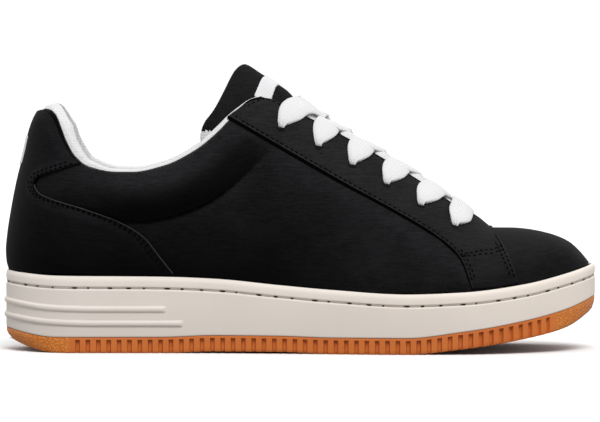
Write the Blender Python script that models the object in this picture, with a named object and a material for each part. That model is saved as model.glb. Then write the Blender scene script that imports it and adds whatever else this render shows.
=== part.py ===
"""Low lace-up cupsole sneaker for the right foot: toe to +X, outer side to -Y, sole on Z = 0.

Lengths are millimetres until a vertex is placed. Every soft piece is cut from one function, the
last: half_width() gives how far the shoe's surface lies from its middle plane at any x and z, and
grow moves that surface out or in.
"""
from collections import namedtuple

import bmesh
import bpy
import numpy as np
from mathutils import Vector

MM = 0.001

# Driving dimensions
LENGTH = 280.0
GAP = 0.3
WALL = 2.0
OVERLAY = 1.4
RIM_WIDTH = 3.0
INSOLE_THICK = 4.0
TONGUE_THICK = 5.0
LACE_THICK = 2.6
LACE_WIDTH = 11.0
LACE_BOW = 2.0
PAD_BOW = 4.8
RIB_PROUD = 0.8
HEEL_RADIUS = 36.0
TOE_REACH = 62.0
TOE_POWER = 2.2
BULGE = 1.0
COLLAR_SWELL = 3.2
LINING_DEPTH = 32.0
NOTCH_COUNT = 47
NOTCH_WIDE = 2.0
NOTCH_DEEP = 1.6
NOTCH_ROOF = 1.4
EYELET_COUNT = 6
EYELET_FIRST = -8.0
EYELET_PITCH = 16.1
EYELET_ACROSS = 19.5
EYELET_SPREAD = 0.8
PAD_EDGE = 9.0
PAD_FLARE = 0.5
PAD_START = 4.0
PAD_RUN = 14.0
LACE_NARROW = 0.55
LACE_TUCK = 2.0
LINING_CLEAR = 0.8
LINING_LIP = 0.7
RUBBER_INSET = 0.2
SIDE_BEVEL = 1.8
BEVEL_INSET = 0.9
TOE_START = 78.0
VAMP_START = 91.0
COLLAR_FRONT = -30.0
LINING_FRONT = -34.0
NOTCH_FIRST = -106.0
NOTCH_LAST = 117.0
NOTCH_CLEAR = 3.0
SWELL_LOW = 0.7
SWELL_FULL = 0.8
HEEL_CROWD = 1.6
WING_CURVE = 1.5
CREASE_ANGLE = 40.0
SLOPE_STEP = 0.1
HEEL_FULLNESS = 1.05
FLAP_CLEAR = 1.0
LACE_OVER = 0.5
# How far a faceted skin may stand off the last, left free under the overlays
SAG = 0.65

LATERAL, MEDIAL = -1, 1
HEEL_END = RIB_PROUD - LENGTH / 2
TOE_END = LENGTH / 2
UPPER_HEEL = HEEL_END + RIM_WIDTH
UPPER_TOE = TOE_END - RIM_WIDTH
HEEL_LEAN_END = -60.0
MERGE = 1e-6

# Sole sections: half widths from the middle line, then heights of rim, cup floor, rubber seam and ground
Sole = namedtuple("Sole", "x lateral medial middle rim floor seam ground")
SOLE = (
    Sole(-140, 36.0, 36.0, 0.0, 38.2, 23.0, 11.0, 6.0),
    Sole(-115, 36.0, 36.0, 0.0, 36.2, 22.0, 7.3, 0.0),
    Sole(-65, 36.5, 35.0, 0.0, 35.8, 21.0, 7.4, 0.0),
    Sole(-40, 38.0, 34.5, 0.0, 34.9, 20.5, 8.3, 0.8),
    Sole(-10, 41.5, 36.0, 0.0, 32.1, 18.5, 8.2, 0.8),
    Sole(15, 45.5, 40.5, 0.0, 29.8, 16.5, 7.6, 0.0),
    Sole(50, 50.3, 48.0, 0.0, 27.8, 15.0, 7.6, 0.0),
    Sole(75, 50.5, 49.8, 0.2, 29.0, 16.0, 10.4, 2.4),
    Sole(105, 47.5, 47.5, 2.4, 32.5, 19.8, 15.3, 6.9),
    Sole(125, 45.5, 45.5, 4.2, 36.9, 24.6, 20.1, 11.6),
    Sole(140, 45.0, 45.0, 5.2, 41.0, 29.6, 25.8, 20.0),
)

# Last sections: height of the ridge, of the widest line over the rim, and roundness of the arch
Last = namedtuple("Last", "x ridge rise power")
LAST = (
    Last(-140, 122.0, 14.0, 2.0),
    Last(-115, 128.0, 14.0, 2.0),
    Last(-85, 136.0, 13.0, 2.0),
    Last(-60, 140.0, 12.0, 1.95),
    Last(-30, 134.0, 11.0, 1.85),
    Last(0, 117.4, 10.0, 1.75),
    Last(35, 96.6, 7.0, 1.55),
    Last(60, 80.4, 5.0, 1.42),
    Last(80, 64.6, 4.0, 1.45),
    Last(91, 57.6, 4.0, 1.7),
    Last(101, 57.0, 5.0, 1.95),
    Last(113, 55.0, 5.0, 2.1),
    Last(121, 53.4, 5.0, 2.15),
    Last(128, 50.4, 4.0, 2.1),
    Last(133, 46.0, 2.0, 2.0),
    Last(137, 41.2, 0.6, 2.0),
)

# Back of the heel, seen from the side
HeelLine = namedtuple("HeelLine", "z x")
HEEL_LINE = (
    HeelLine(38, -136.2),
    HeelLine(42, -137.2),
    HeelLine(47, -137.5),
    HeelLine(55, -136.8),
    HeelLine(67, -134.9),
    HeelLine(78, -132.8),
    HeelLine(93, -129.1),
    HeelLine(105, -126.2),
    HeelLine(112, -123.1),
    HeelLine(118, -118.0),
)

# Collar edge of the leather, the lining's roll over it and the thickness of its padding
Topline = namedtuple("Topline", "x z roll pad")
TOPLINE = (
    Topline(-136.2, 113.3, 3.0, 6.5),
    Topline(-129.0, 112.6, 3.4, 6.5),
    Topline(-124.0, 108.8, 5.5, 6.5),
    Topline(-117.0, 99.0, 7.5, 6.5),
    Topline(-110.5, 91.5, 6.5, 6.5),
    Topline(-102.0, 86.8, 3.8, 6.5),
    Topline(-87.0, 84.4, 1.6, 6.0),
    Topline(-79.0, 84.4, 1.4, 6.0),
    Topline(-64.0, 87.3, 1.6, 5.5),
    Topline(-49.5, 94.3, 2.2, 4.2),
    Topline(-35.5, 105.8, 3.4, 3.0),
    Topline(-29.8, 112.0, 4.0, 3.0),
    Topline(-23.7, 117.2, 4.0, 3.0),
    Topline(-18.0, 118.6, 4.0, 3.0),
)

# Lower seam of the padded collar
CollarSeam = namedtuple("CollarSeam", "x z swell")
COLLAR_SEAM = (
    CollarSeam(-127, 78.0, 0.0),
    CollarSeam(-119, 72.5, 0.12),
    CollarSeam(-102, 68.0, 0.4),
    CollarSeam(-85, 63.6, 0.9),
    CollarSeam(-62, 62.7, 1.0),
    CollarSeam(-48, 67.9, 1.0),
    CollarSeam(-34, 77.8, 0.9),
    CollarSeam(-22, 88.0, 0.6),
    CollarSeam(-12, 96.6, 0.0),
)

# Throat opening
THROAT_TOP = -18.0
THROAT_ROUND = 66.0
THROAT_END = 79.0
THROAT_HALF_TOP = 15.0
THROAT_HALF_TOE = 10.5

# Edges of the eyestay, and where each upper point is joined to a lower one
EdgePoint = namedtuple("EdgePoint", "x z")
EYESTAY_LOWER = (
    EdgePoint(-32.5, 109.0),
    EdgePoint(21.3, 78.0),
    EdgePoint(47.4, 63.9),
    EdgePoint(64.0, 54.9),
    EdgePoint(74.4, 47.6),
    EdgePoint(78.2, 42.0),
    EdgePoint(81.5, 31.0),
)
EYESTAY_FRONT = (
    EdgePoint(91.0, 57.6),
    EdgePoint(96.0, 49.5),
    EdgePoint(100.0, 40.0),
    EdgePoint(102.0, 33.0),
)
Span = namedtuple("Span", "upper lower")
EYESTAY_SPANS = (
    Span(-18.0, -32.5),
    Span(0.0, -11.0),
    Span(30.0, 21.3),
    Span(55.0, 47.4),
    Span(72.0, 61.0),
    Span(79.0, 66.5),
    Span(86.0, 72.0),
    Span(91.0, 75.5),
    Span(92.2, 76.3),
    Span(93.8, 77.3),
    Span(96.0, 78.2),
    Span(100.0, 80.2),
    Span(102.0, 81.5),
)

# Heel counter: each row runs from the back of the heel to the overlay's front edge
Counter = namedtuple("Counter", "back_z front_x front_z")
COUNTER = (
    Counter(39.0, -61.0, 36.6),
    Counter(46.0, -69.0, 45.5),
    Counter(54.0, -76.0, 55.0),
    Counter(60.0, -85.5, 61.4),
    Counter(66.0, -102.0, 66.0),
    Counter(71.0, -118.5, 69.8),
    Counter(75.0, -124.5, 74.0),
    Counter(79.0, -126.8, 78.5),
    Counter(86.0, -123.5, 82.0),
    Counter(97.0, -114.0, 86.0),
    Counter(113.3, -103.0, 88.0),
)
COUNTER_NOSE = 7

# Tongue sections from the toe end to the top: crest, wing, half width, and how far the pad stands up
Tongue = namedtuple("Tongue", "crest wing half proud")
TONGUE = (
    Tongue(85.0, 85.0, 15.0, -0.4),
    Tongue(60.0, 60.0, 20.0, -1.4),
    Tongue(30.0, 28.0, 23.0, -1.6),
    Tongue(9.0, 2.0, 24.5, -0.6),
    Tongue(0.0, -10.0, 25.0, 0.6),
    Tongue(-7.0, -21.0, 25.0, 3.4),
    Tongue(-17.0, -34.0, 24.0, 6.4),
    Tongue(-26.0, -43.0, 23.0, 7.6),
    Tongue(-31.0, -47.0, 22.0, 6.4),
)
# How far the tongue lies under the last: more where the collar's padding is outside it
Sink = namedtuple("Sink", "x depth")
TONGUE_SINK = (Sink(-48, 7.4), Sink(-36, 6.8), Sink(-30, 5.0), Sink(-14, 2.9), Sink(85, 2.9))

# Ribs round the heel of the midsole
Rib = namedtuple("Rib", "back_z side_z end")
RIBS = (Rib(16.8, 13.8, -56.0), Rib(23.7, 20.5, -64.0))
RIB_TALL = 2.6
RIB_SLOPE = 0.4
RIB_RAMP = 1.6
RIB_FADE = 60.0
RIB_SWEEP = 44.0
RIB_SET = 0.6

# Rows of the stitch channel and the rounded bead, down from the rim
Bead = namedtuple("Bead", "below inset")
BEAD = (
    Bead(6.4, 0.1),
    Bead(5.6, 0.9),
    Bead(4.7, 0.1),
    Bead(2.6, 0.0),
    Bead(0.7, 0.4),
    Bead(0.0, 1.4),
)


def fair_curve(xs, ys):
    """A smooth curve through a table's points that never overshoots them."""
    xs = np.asarray(xs, float)
    ys = np.asarray(ys, float)
    step = np.diff(xs)
    slope = np.diff(ys) / step
    tangent = np.zeros_like(ys)
    tangent[0] = slope[0]
    tangent[-1] = slope[-1]
    for i in range(1, len(xs) - 1):
        before, after = slope[i - 1], slope[i]
        if before * after > 0:
            near = 2 * step[i] + step[i - 1]
            far = step[i] + 2 * step[i - 1]
            tangent[i] = (near + far) / (near / before + far / after)

    def at(x):
        x = np.clip(x, xs[0], xs[-1])
        i = np.clip(np.searchsorted(xs, x) - 1, 0, len(step) - 1)
        t = (x - xs[i]) / step[i]
        start = (1 + 2 * t) * (1 - t) ** 2 * ys[i] + t * (1 - t) ** 2 * step[i] * tangent[i]
        stop = t * t * (3 - 2 * t) * ys[i + 1] + t * t * (t - 1) * step[i] * tangent[i + 1]
        return start + stop

    return at


def column(table, name, along="x"):
    """One named column of a table as a curve over another."""
    return fair_curve([getattr(row, along) for row in table], [getattr(row, name) for row in table])


def by_row(table, name):
    """One named column of a table as a curve over the row's share of the table."""
    return fair_curve(np.linspace(0, 1, len(table)), [getattr(row, name) for row in table])


sole_width = {LATERAL: column(SOLE, "lateral"), MEDIAL: column(SOLE, "medial")}
middle = column(SOLE, "middle")
rim_z = column(SOLE, "rim")
floor_z = column(SOLE, "floor")
seam_z = column(SOLE, "seam")
ground_z = column(SOLE, "ground")
ridge_z = column(LAST, "ridge")
rise = column(LAST, "rise")
power = column(LAST, "power")
heel_line = column(HEEL_LINE, "x", along="z")
topline_z = column(TOPLINE, "z")
lining_roll = column(TOPLINE, "roll")
lining_pad = column(TOPLINE, "pad")
collar_seam_z = column(COLLAR_SEAM, "z")
collar_swell = column(COLLAR_SEAM, "swell")
eyestay_lower_z = column(EYESTAY_LOWER, "z")
eyestay_front_z = column(EYESTAY_FRONT, "z")
tongue_sink = column(TONGUE_SINK, "depth")


def ease(t):
    """Smooth step from 0 to 1."""
    t = np.clip(t, 0, 1)
    return t * t * (3 - 2 * t)


def heel_round(depth, radius):
    """Share of the full half width at a depth from the back of the heel."""
    back = 1 - np.clip(depth, 0, radius) / radius
    return np.sqrt(1 - back * back)


def toe_round(depth, reach):
    """Share of the full half width at a depth from the toe's tip."""
    front = 1 - np.clip(depth, 0, reach) / reach
    return (1 - front ** TOE_POWER) ** (1 / TOE_POWER)


def sole_half(side, x, inset):
    """Half width of the sole's outline, moved in by inset."""
    width = sole_width[side](x) - inset
    heel = heel_round(x - HEEL_END - inset, HEEL_RADIUS - inset)
    return width * heel * toe_round(TOE_END - inset - x, TOE_REACH - inset)


def heel_lean(q, z):
    """How far the heel's slope has carried a station forward at a height."""
    return (1 - ease((q - UPPER_HEEL) / (HEEL_LEAN_END - UPPER_HEEL))) * (heel_line(z) - UPPER_HEEL)


def swell(x, z):
    """How far the padded collar stands out."""
    q = x - heel_lean(x, z)
    low = collar_seam_z(q)
    share = np.clip((z - low) / (topline_z(q) - low), 0, 1)
    return COLLAR_SWELL * collar_swell(q) * np.sin(np.pi * share ** SWELL_LOW) ** SWELL_FULL


def half_width(side, x, z, grow=0.0):
    """Half width of the last at x and z."""
    rim = rim_z(x)
    broad = rim + rise(x)
    base = sole_width[side](x) - RIM_WIDTH
    low_share = np.clip((z - rim) / rise(x), 0, 1)
    low = base + BULGE * np.sin(low_share * np.pi / 2) + grow
    climb = np.clip((z - broad) / (ridge_z(x) + grow - broad), 0, 1)
    high = (base + BULGE + grow) * (1 - climb ** power(x)) ** (1 / power(x))
    half = np.where(z <= broad, low, high)
    radius = np.minimum(HEEL_RADIUS - RIM_WIDTH + grow, HEEL_FULLNESS * half)
    half = half * heel_round(x - heel_line(z) + grow, np.maximum(radius, 1.0))
    half = half * toe_round(UPPER_TOE + grow - x, TOE_REACH - RIM_WIDTH + grow)
    return half + (swell(x, z) if grow >= 0 else 0.0)


def crown_z(side, x, across, grow=0.0):
    """Height of the last's arch at a distance from its middle line."""
    broad = rim_z(x) + rise(x)
    width = sole_width[side](x) - RIM_WIDTH + BULGE + grow
    width = width * toe_round(UPPER_TOE + grow - x, TOE_REACH - RIM_WIDTH + grow)
    share = np.clip(abs(across) / width, 0, 1)
    return broad + (ridge_z(x) + grow - broad) * (1 - share ** power(x)) ** (1 / power(x))


def level_of(x, z):
    """Height as a level: -1 at the foot of the wall, 0 at the widest line, 1 at the ridge."""
    broad = rim_z(x) + rise(x)
    foot = floor_z(x) + GAP
    climb = np.clip((z - broad) / (ridge_z(x) - broad), 0, 1)
    return np.where(z < broad, (z - broad) / (broad - foot), np.arcsin(climb ** (power(x) / 2)) * 2 / np.pi)


def height_of(x, level, grow=0.0):
    """The height of a level."""
    broad = rim_z(x) + rise(x)
    foot = floor_z(x) + GAP
    climb = np.sin(np.clip(level, 0, 1) * np.pi / 2) ** (2 / power(x))
    return np.where(level < 0, broad + level * (broad - foot), broad + climb * (ridge_z(x) + grow - broad))


def grown_x(q, grow):
    """A station moved out with the heel and the toe."""
    at_heel = 1 - ease((q - UPPER_HEEL) / HEEL_RADIUS)
    at_toe = ease((q - UPPER_TOE + TOE_REACH) / TOE_REACH)
    return q + grow * (at_toe - at_heel)


def wall_point(side, q, z, grow=0.0):
    """A point on the last; q is x with the heel stood upright."""
    x = grown_x(q, grow) + heel_lean(q, z)
    return x, middle(x) + side * half_width(side, x, z, grow), z


def level_point(side, q, level, grow=0.0):
    """A point on the last at a level."""
    return wall_point(side, q, height_of(grown_x(q, grow), level, grow), grow)


def upright_x(x, z):
    """The q of a point at x and z."""
    q = x
    for _ in range(12):
        q = x - heel_lean(q, z)
    return max(q, UPPER_HEEL)


def throat_half(q):
    """Half width of the throat opening, round at its toe end."""
    down = np.clip((q - THROAT_TOP) / (THROAT_ROUND - THROAT_TOP), 0, 1)
    share = np.clip((q - THROAT_ROUND) / (THROAT_END - THROAT_ROUND), 0, 1)
    return (THROAT_HALF_TOP + (THROAT_HALF_TOE - THROAT_HALF_TOP) * down) * np.sqrt(1 - share * share)


def top_z(side, q):
    """Top edge of the upper: collar, then throat, then the closed ridge."""
    if q <= THROAT_TOP:
        return topline_z(q)
    if q < THROAT_END:
        return crown_z(side, q, throat_half(q))
    return ridge_z(q)


def finish_mesh(name, bm, colour, roughness):
    """Close a bmesh into a named object with its own material."""
    bmesh.ops.remove_doubles(bm, verts=bm.verts, dist=MERGE)
    bmesh.ops.recalc_face_normals(bm, faces=bm.faces)
    mesh = bpy.data.meshes.new(name)
    bm.to_mesh(mesh)
    bm.free()
    piece = bpy.data.objects.new(name, mesh)
    bpy.context.scene.collection.objects.link(piece)
    finish = bpy.data.materials.new(name)
    finish.use_nodes = True
    shader = finish.node_tree.nodes["Principled BSDF"]
    shader.inputs["Base Color"].default_value = (*colour, 1)
    shader.inputs["Roughness"].default_value = roughness
    mesh.materials.append(finish)
    mesh.shade_smooth()
    mesh.set_sharp_from_angle(angle=np.radians(CREASE_ANGLE))
    return piece


def place_grid(bm, columns, rows, point):
    """A grid whose corners are moved to point(column, row)."""
    grid = bmesh.ops.create_grid(bm, x_segments=columns, y_segments=rows, size=0.5)
    for vert in grid["verts"]:
        at_column = round((vert.co.x + 0.5) * columns)
        at_row = round((vert.co.y + 0.5) * rows)
        vert.co = Vector([float(value) for value in point(at_column, at_row)]) * MM


def close_rims(bm, split_z=None):
    """Bridge the free edges of an outer and an inner skin, those under split_z on their own."""
    bmesh.ops.remove_doubles(bm, verts=bm.verts, dist=MERGE)
    free = [edge for edge in bm.edges if edge.is_boundary]
    if split_z is None:
        bmesh.ops.bridge_loops(bm, edges=free)
        return
    low = [edge for edge in free if edge.verts[0].co.z < split_z * MM]
    high = [edge for edge in free if edge.verts[0].co.z >= split_z * MM]
    bmesh.ops.bridge_loops(bm, edges=low)
    bmesh.ops.bridge_loops(bm, edges=high)


def spread(start, stop, count):
    """Evenly spread values, without the last."""
    return list(np.linspace(start, stop, count, endpoint=False))


def heel_spread(start, radius, count):
    """Stations round a heel: close together at its back."""
    turn = np.linspace(0, np.pi / 2, count, endpoint=False)
    return [start + radius * (1 - np.cos(a)) for a in turn]


def toe_spread(start, stop, count):
    """Stations round a toe: close together at its tip."""
    turn = np.linspace(0, np.pi / 2, count)
    return [start + (stop - start) * np.sin(a) for a in turn]


def sole_loop(stations):
    """Sides and stations once round a sole: out along the lateral edge and back along the medial one."""
    out = [(LATERAL, x) for x in stations]
    back = [(MEDIAL, x) for x in reversed(stations)]
    return out + back


def inset_x(x, inset):
    """A station moved in with the outline's ends."""
    share = (x - HEEL_END) / (TOE_END - HEEL_END)
    return x + inset * (1 - 2 * share)


def edge_y(side, x, inset):
    """Where the sole's edge lies at a station."""
    return middle(x) + side * sole_half(side, x, inset)


def sole_point(side, x, inset, height, notch=0.0):
    """A point of a sole's edge, cut in square to it by notch."""
    at = inset_x(x, inset)
    y = edge_y(side, at, inset)
    if notch:
        slope = edge_y(side, at + SLOPE_STEP, inset) - edge_y(side, at - SLOPE_STEP, inset)
        inward = Vector((side * slope, -side * 2 * SLOPE_STEP)).normalized()
        return at + inward.x * notch, y + inward.y * notch, height(at)
    return at, y, height(at)


def build_sole_solid(name, stations, rows, colour, roughness):
    """A solid from rows up its side, closed along its middle line below and above."""
    loop = sole_loop(stations)
    last = len(rows) + 1

    def point(at_column, at_row):
        side, x = loop[at_column % len(loop)]
        row = rows[min(max(at_row - 1, 0), len(rows) - 1)]
        if at_row in (0, last):
            at = inset_x(x, row.inset(x))
            return at, middle(at), row.height(at)
        return sole_point(side, x, row.inset(x), row.height, row.notch(x))

    bm = bmesh.new()
    place_grid(bm, len(loop), last, point)
    return finish_mesh(name, bm, colour, roughness)


def constant(value):
    """A size that is the same at every station."""
    return lambda x: value


SoleRow = namedtuple("SoleRow", "inset height notch", defaults=(constant(0.0),))


def over(curve, offset):
    """A height curve raised by an offset."""
    return lambda x: curve(x) + offset


def rib_height(rib):
    """Height of a heel rib, which sweeps up round the back."""
    stations = (HEEL_END, HEEL_END + 0.5 * RIB_SWEEP, HEEL_END + RIB_SWEEP, TOE_END)
    return fair_curve(stations, (rib.back_z, rib.side_z + RIB_SET, rib.side_z, rib.side_z))


def rib_inset(rib):
    """Inset of a rib's face: proud at the heel, flush in front of its end."""
    return lambda x: -RIB_PROUD * (1 - ease((x - rib.end) / RIB_RAMP))


def side_row(rib, offset, share):
    """A row's height: on its rib at the heel, at its share of the plain side in front."""
    centre = rib_height(rib)

    def height(x):
        low = seam_z(x) + SIDE_BEVEL
        plain = low + share * (rim_z(x) - BEAD[0].below - low)
        ahead = ease((x - rib.end - RIB_RAMP) / RIB_FADE)
        return (centre(x) + offset) * (1 - ahead) + plain * ahead

    return height


def rib_rows(rib, first):
    """The four rows over a rib; first counts rows from the foot of the side."""
    half = RIB_TALL / 2
    flat = constant(0.0)
    face = rib_inset(rib)
    steps = ((flat, -half - RIB_SLOPE), (face, -half), (face, half), (flat, half + RIB_SLOPE))
    count = len(steps) * len(RIBS) + 1
    return [
        SoleRow(inset, side_row(rib, offset, (first + step) / count))
        for step, (inset, offset) in enumerate(steps)
    ]


def sole_stations():
    """Stations for the plain soles, with a close pair at each rib's end."""
    ends = [rib.end + step for rib in RIBS for step in (0.0, RIB_RAMP)]
    stations = heel_spread(HEEL_END, HEEL_RADIUS, 7) + spread(HEEL_END + HEEL_RADIUS, TOE_START, 10)
    stations = sorted(stations + ends)
    return stations + toe_spread(TOE_START, TOE_END, 8)


def build_midsole():
    cup = constant(RIM_WIDTH - 2 * GAP)
    rows = [
        SoleRow(constant(BEVEL_INSET), over(seam_z, 2 * GAP)),
        SoleRow(constant(0.0), over(seam_z, SIDE_BEVEL)),
        *rib_rows(RIBS[0], 1),
        *rib_rows(RIBS[1], 5),
        *[SoleRow(constant(row.inset), over(rim_z, -row.below)) for row in BEAD],
        SoleRow(cup, over(rim_z, -GAP)),
        SoleRow(cup, floor_z),
    ]
    build_sole_solid("midsole", sole_stations(), rows, (0.78, 0.73, 0.66), 0.6)


def build_insole():
    edge = constant(RIM_WIDTH + WALL + 2 * GAP)
    rows = [
        SoleRow(edge, over(floor_z, GAP)),
        SoleRow(edge, over(floor_z, GAP + INSOLE_THICK)),
    ]
    build_sole_solid("insole", sole_stations(), rows, (0.7, 0.7, 0.7), 0.9)


def notch_stations():
    """Station and depth of each corner along one side of the rubber; notches are even along the edge."""
    fine = np.linspace(NOTCH_FIRST, NOTCH_LAST, 400)
    edge = sole_half(LATERAL, fine, 0.0)
    run = np.concatenate(([0.0], np.cumsum(np.hypot(np.diff(fine), np.diff(edge)))))
    centres = np.interp(np.linspace(0, run[-1], NOTCH_COUNT), run, fine)
    slant = np.interp(centres, fine, np.gradient(fine, run))
    corners = [(x, 0.0) for x in heel_spread(HEEL_END, NOTCH_FIRST - HEEL_END, 7)[:-1]]
    for x, lean in zip(centres, slant):
        half = NOTCH_WIDE / 2 * lean
        corners += [(x - half, 0.0), (x, NOTCH_DEEP), (x + half, 0.0)]
    return corners + [(x, 0.0) for x in toe_spread(NOTCH_LAST + NOTCH_CLEAR, TOE_END, 6)]


def build_outsole():
    corners = notch_stations()
    depths = dict(corners)
    flush = constant(RUBBER_INSET)

    def notch_top(x):
        return seam_z(x) - NOTCH_ROOF

    rows = [
        SoleRow(flush, ground_z, depths.get),
        SoleRow(flush, notch_top, depths.get),
        SoleRow(flush, notch_top),
        SoleRow(flush, seam_z),
    ]
    build_sole_solid("outsole", list(depths), rows, (0.45, 0.15, 0.04), 0.55)


def upper_stations():
    heel = heel_spread(UPPER_HEEL, HEEL_RADIUS - RIM_WIDTH, 7)
    collar = spread(UPPER_HEEL + HEEL_RADIUS - RIM_WIDTH, COLLAR_FRONT, 8)
    throat = spread(COLLAR_FRONT, THROAT_TOP, 2) + spread(THROAT_TOP, THROAT_ROUND, 9)
    throat_end = toe_spread(THROAT_ROUND, THROAT_END, 5)
    vamp = spread(THROAT_END + 3, VAMP_START, 3)
    return heel + collar + throat + throat_end + vamp + toe_spread(VAMP_START, UPPER_TOE, 8)


def build_upper():
    stations = upper_stations()
    arch_rows = 7
    bm = bmesh.new()
    for side in (LATERAL, MEDIAL):
        for grow in (0.0, -WALL):

            def point(at_column, at_row):
                q = stations[at_column]
                top = level_of(q, top_z(side, q))
                levels = [-1.0, level_of(q, rim_z(q)), 0.0]
                level = levels[at_row] if at_row < 3 else top * (at_row - 2) / arch_rows
                return level_point(side, q, level, grow)

            place_grid(bm, len(stations) - 1, arch_rows + 2, point)
    close_rims(bm, split_z=35.0)
    return finish_mesh("upper", bm, (0.016, 0.016, 0.018), 0.85)


def build_patch(name, columns, rows, point, skins, colour, roughness):
    """A sheet between two skins of the last."""
    bm = bmesh.new()
    for grow in skins:
        place_grid(bm, columns, rows, lambda at_column, at_row: point(at_column, at_row, grow))
    close_rims(bm)
    return finish_mesh(name, bm, colour, roughness)


def build_eyestay():
    columns, rows = 2 * (len(EYESTAY_SPANS) - 1), 4
    upper_x = by_row(EYESTAY_SPANS, "upper")
    lower_x = by_row(EYESTAY_SPANS, "lower")
    front = EYESTAY_FRONT[0].x

    def half_point(side, at_column, at_row, grow):
        share = at_column / columns
        down = at_row / rows
        high, low = upper_x(share), lower_x(share)
        high_z = top_z(side, high) if high <= front else eyestay_front_z(high)
        q = high + (low - high) * down
        high_level = level_of(high, high_z)
        level = high_level + (level_of(low, eyestay_lower_z(low)) - high_level) * down
        if at_column == 0:
            level = level_of(q, topline_z(q))
        return level_point(side, q, level, grow)

    bm = bmesh.new()
    for side in (LATERAL, MEDIAL):
        for grow in (SAG + GAP + OVERLAY, SAG + GAP):
            place_grid(bm, columns, rows, lambda c, r: half_point(side, c, r, grow))
    close_rims(bm)
    return finish_mesh("eyestay", bm, (0.02, 0.02, 0.022), 0.85)


def build_heel_counter():
    half_columns, rows = 7, 12
    back_z = by_row(COUNTER, "back_z")
    front_x = by_row(COUNTER, "front_x")
    front_z = by_row(COUNTER, "front_z")
    nose_share = COUNTER_NOSE / (len(COUNTER) - 1)

    def point(at_column, at_row, grow):
        share = at_row / rows
        side = LATERAL if at_column < half_columns else MEDIAL
        reach = abs(at_column - half_columns) / half_columns
        front = upright_x(front_x(share), front_z(share))
        q = UPPER_HEEL + (front - UPPER_HEEL) * reach ** HEEL_CROWD
        along = (q - UPPER_HEEL) / (front - UPPER_HEEL)
        z = back_z(share) + (front_z(share) - back_z(share)) * along
        tab = np.clip((share - nose_share) / (1 - nose_share), 0, 1)
        z = z + tab * (topline_z(q) - z)
        return wall_point(side, q, z, grow)

    skins = (SAG + 2 * GAP + OVERLAY, SAG + 2 * GAP)
    build_patch("heel_counter", 2 * half_columns, rows, point, skins, (0.012, 0.012, 0.014), 0.85)


def build_collar_lining():
    stations = heel_spread(UPPER_HEEL, HEEL_RADIUS - RIM_WIDTH, 7)
    stations += list(np.linspace(UPPER_HEEL + HEEL_RADIUS - RIM_WIDTH, LINING_FRONT, 9))
    loop = [(LATERAL, q) for q in reversed(stations)] + [(MEDIAL, q) for q in stations[1:]]
    outside = WALL + LINING_CLEAR

    def ring(q):
        """Depth under the leather's outside and height over its edge, round the roll."""
        roll, pad = lining_roll(q), lining_pad(q)
        return (
            (outside, -LINING_DEPTH),
            (outside, -1.0),
            (outside, GAP),
            (LINING_LIP, GAP),
            (LINING_LIP + GAP, 0.6 * roll),
            (outside + 0.3 * pad, roll),
            (outside + 0.8 * pad, 0.75 * roll),
            (outside + pad, -3.0),
            (outside + pad, -0.5 * LINING_DEPTH),
            (outside + 1.2, -LINING_DEPTH),
        )

    count = len(ring(LINING_FRONT))

    def point(at_column, at_row):
        side, q = loop[at_column]
        depth, height = ring(q)[at_row % count]
        return wall_point(side, q, topline_z(q) + height, -depth)

    bm = bmesh.new()
    place_grid(bm, len(loop) - 1, count, point)
    bmesh.ops.remove_doubles(bm, verts=bm.verts, dist=MERGE)
    bmesh.ops.holes_fill(bm, edges=[edge for edge in bm.edges if edge.is_boundary])
    return finish_mesh("collar_lining", bm, (0.8, 0.8, 0.8), 0.9)


def tongue_z(x, across, proud, grow=0.0):
    """Height of the tongue: under the flaps it follows them, and its pad stands up between them."""
    side = LATERAL if across < 0 else MEDIAL
    flare = PAD_FLARE * max(THROAT_TOP - x, 0.0)
    flap = throat_half(max(x, THROAT_TOP)) - FLAP_CLEAR + flare
    pad = 1 - ease((abs(across) - flap + PAD_EDGE + flare) / (PAD_EDGE + flare))
    return crown_z(side, x, across, grow - tongue_sink(x)) + proud * pad


def build_tongue():
    columns, rows = 13, 10
    crest = by_row(TONGUE, "crest")
    wing = by_row(TONGUE, "wing")
    half = by_row(TONGUE, "half")
    proud = by_row(TONGUE, "proud")

    def point(at_column, at_row, grow):
        share = at_column / columns
        across = 2 * at_row / rows - 1
        x = crest(share) + (wing(share) - crest(share)) * abs(across) ** WING_CURVE
        y = half(share) * np.sin(across * np.pi / 2)
        return x, middle(x) + y, tongue_z(x, y, proud(share), grow)

    build_patch("tongue", columns, rows, point, (0.0, -TONGUE_THICK), (0.02, 0.02, 0.022), 0.85)


def eyelet(index):
    """Station of an eyelet and its distance from the middle line."""
    return EYELET_FIRST + EYELET_PITCH * index, EYELET_ACROSS + EYELET_SPREAD * index


def lace_z(x, across, grow):
    """Height of a strip: over the flaps, and nearly straight between their edges."""
    side = LATERAL if across < 0 else MEDIAL
    edge = throat_half(min(max(x, THROAT_TOP), THROAT_ROUND))
    rise_over_pad = PAD_BOW * ease((PAD_START - x) / PAD_RUN)
    bow = (LACE_BOW + rise_over_pad) * (1 - min(abs(across) / edge, 1) ** 2)
    return crown_z(side, x, max(abs(across), edge), grow) + bow


def lace_strip(name, start, stop, raised):
    """One flat strip from an eyelet to the other edge of the throat."""
    columns, rows = 6, 1
    (first_x, first_y), (last_x, last_y) = start, stop
    bottom = SAG + OVERLAY + 3 * GAP + raised

    def point(at_column, at_row, grow):
        share = at_column / columns
        y = first_y + (last_y - first_y) * share
        narrow = LACE_NARROW + (1 - LACE_NARROW) * ease(share * 4)
        x = first_x + (last_x - first_x) * share + (at_row / rows - 0.5) * LACE_WIDTH * narrow
        return x, middle(x) + y, lace_z(x, y, bottom + grow)

    return build_patch(name, columns, rows, point, (LACE_THICK, 0.0), (0.85, 0.85, 0.86), 0.8)


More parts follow.
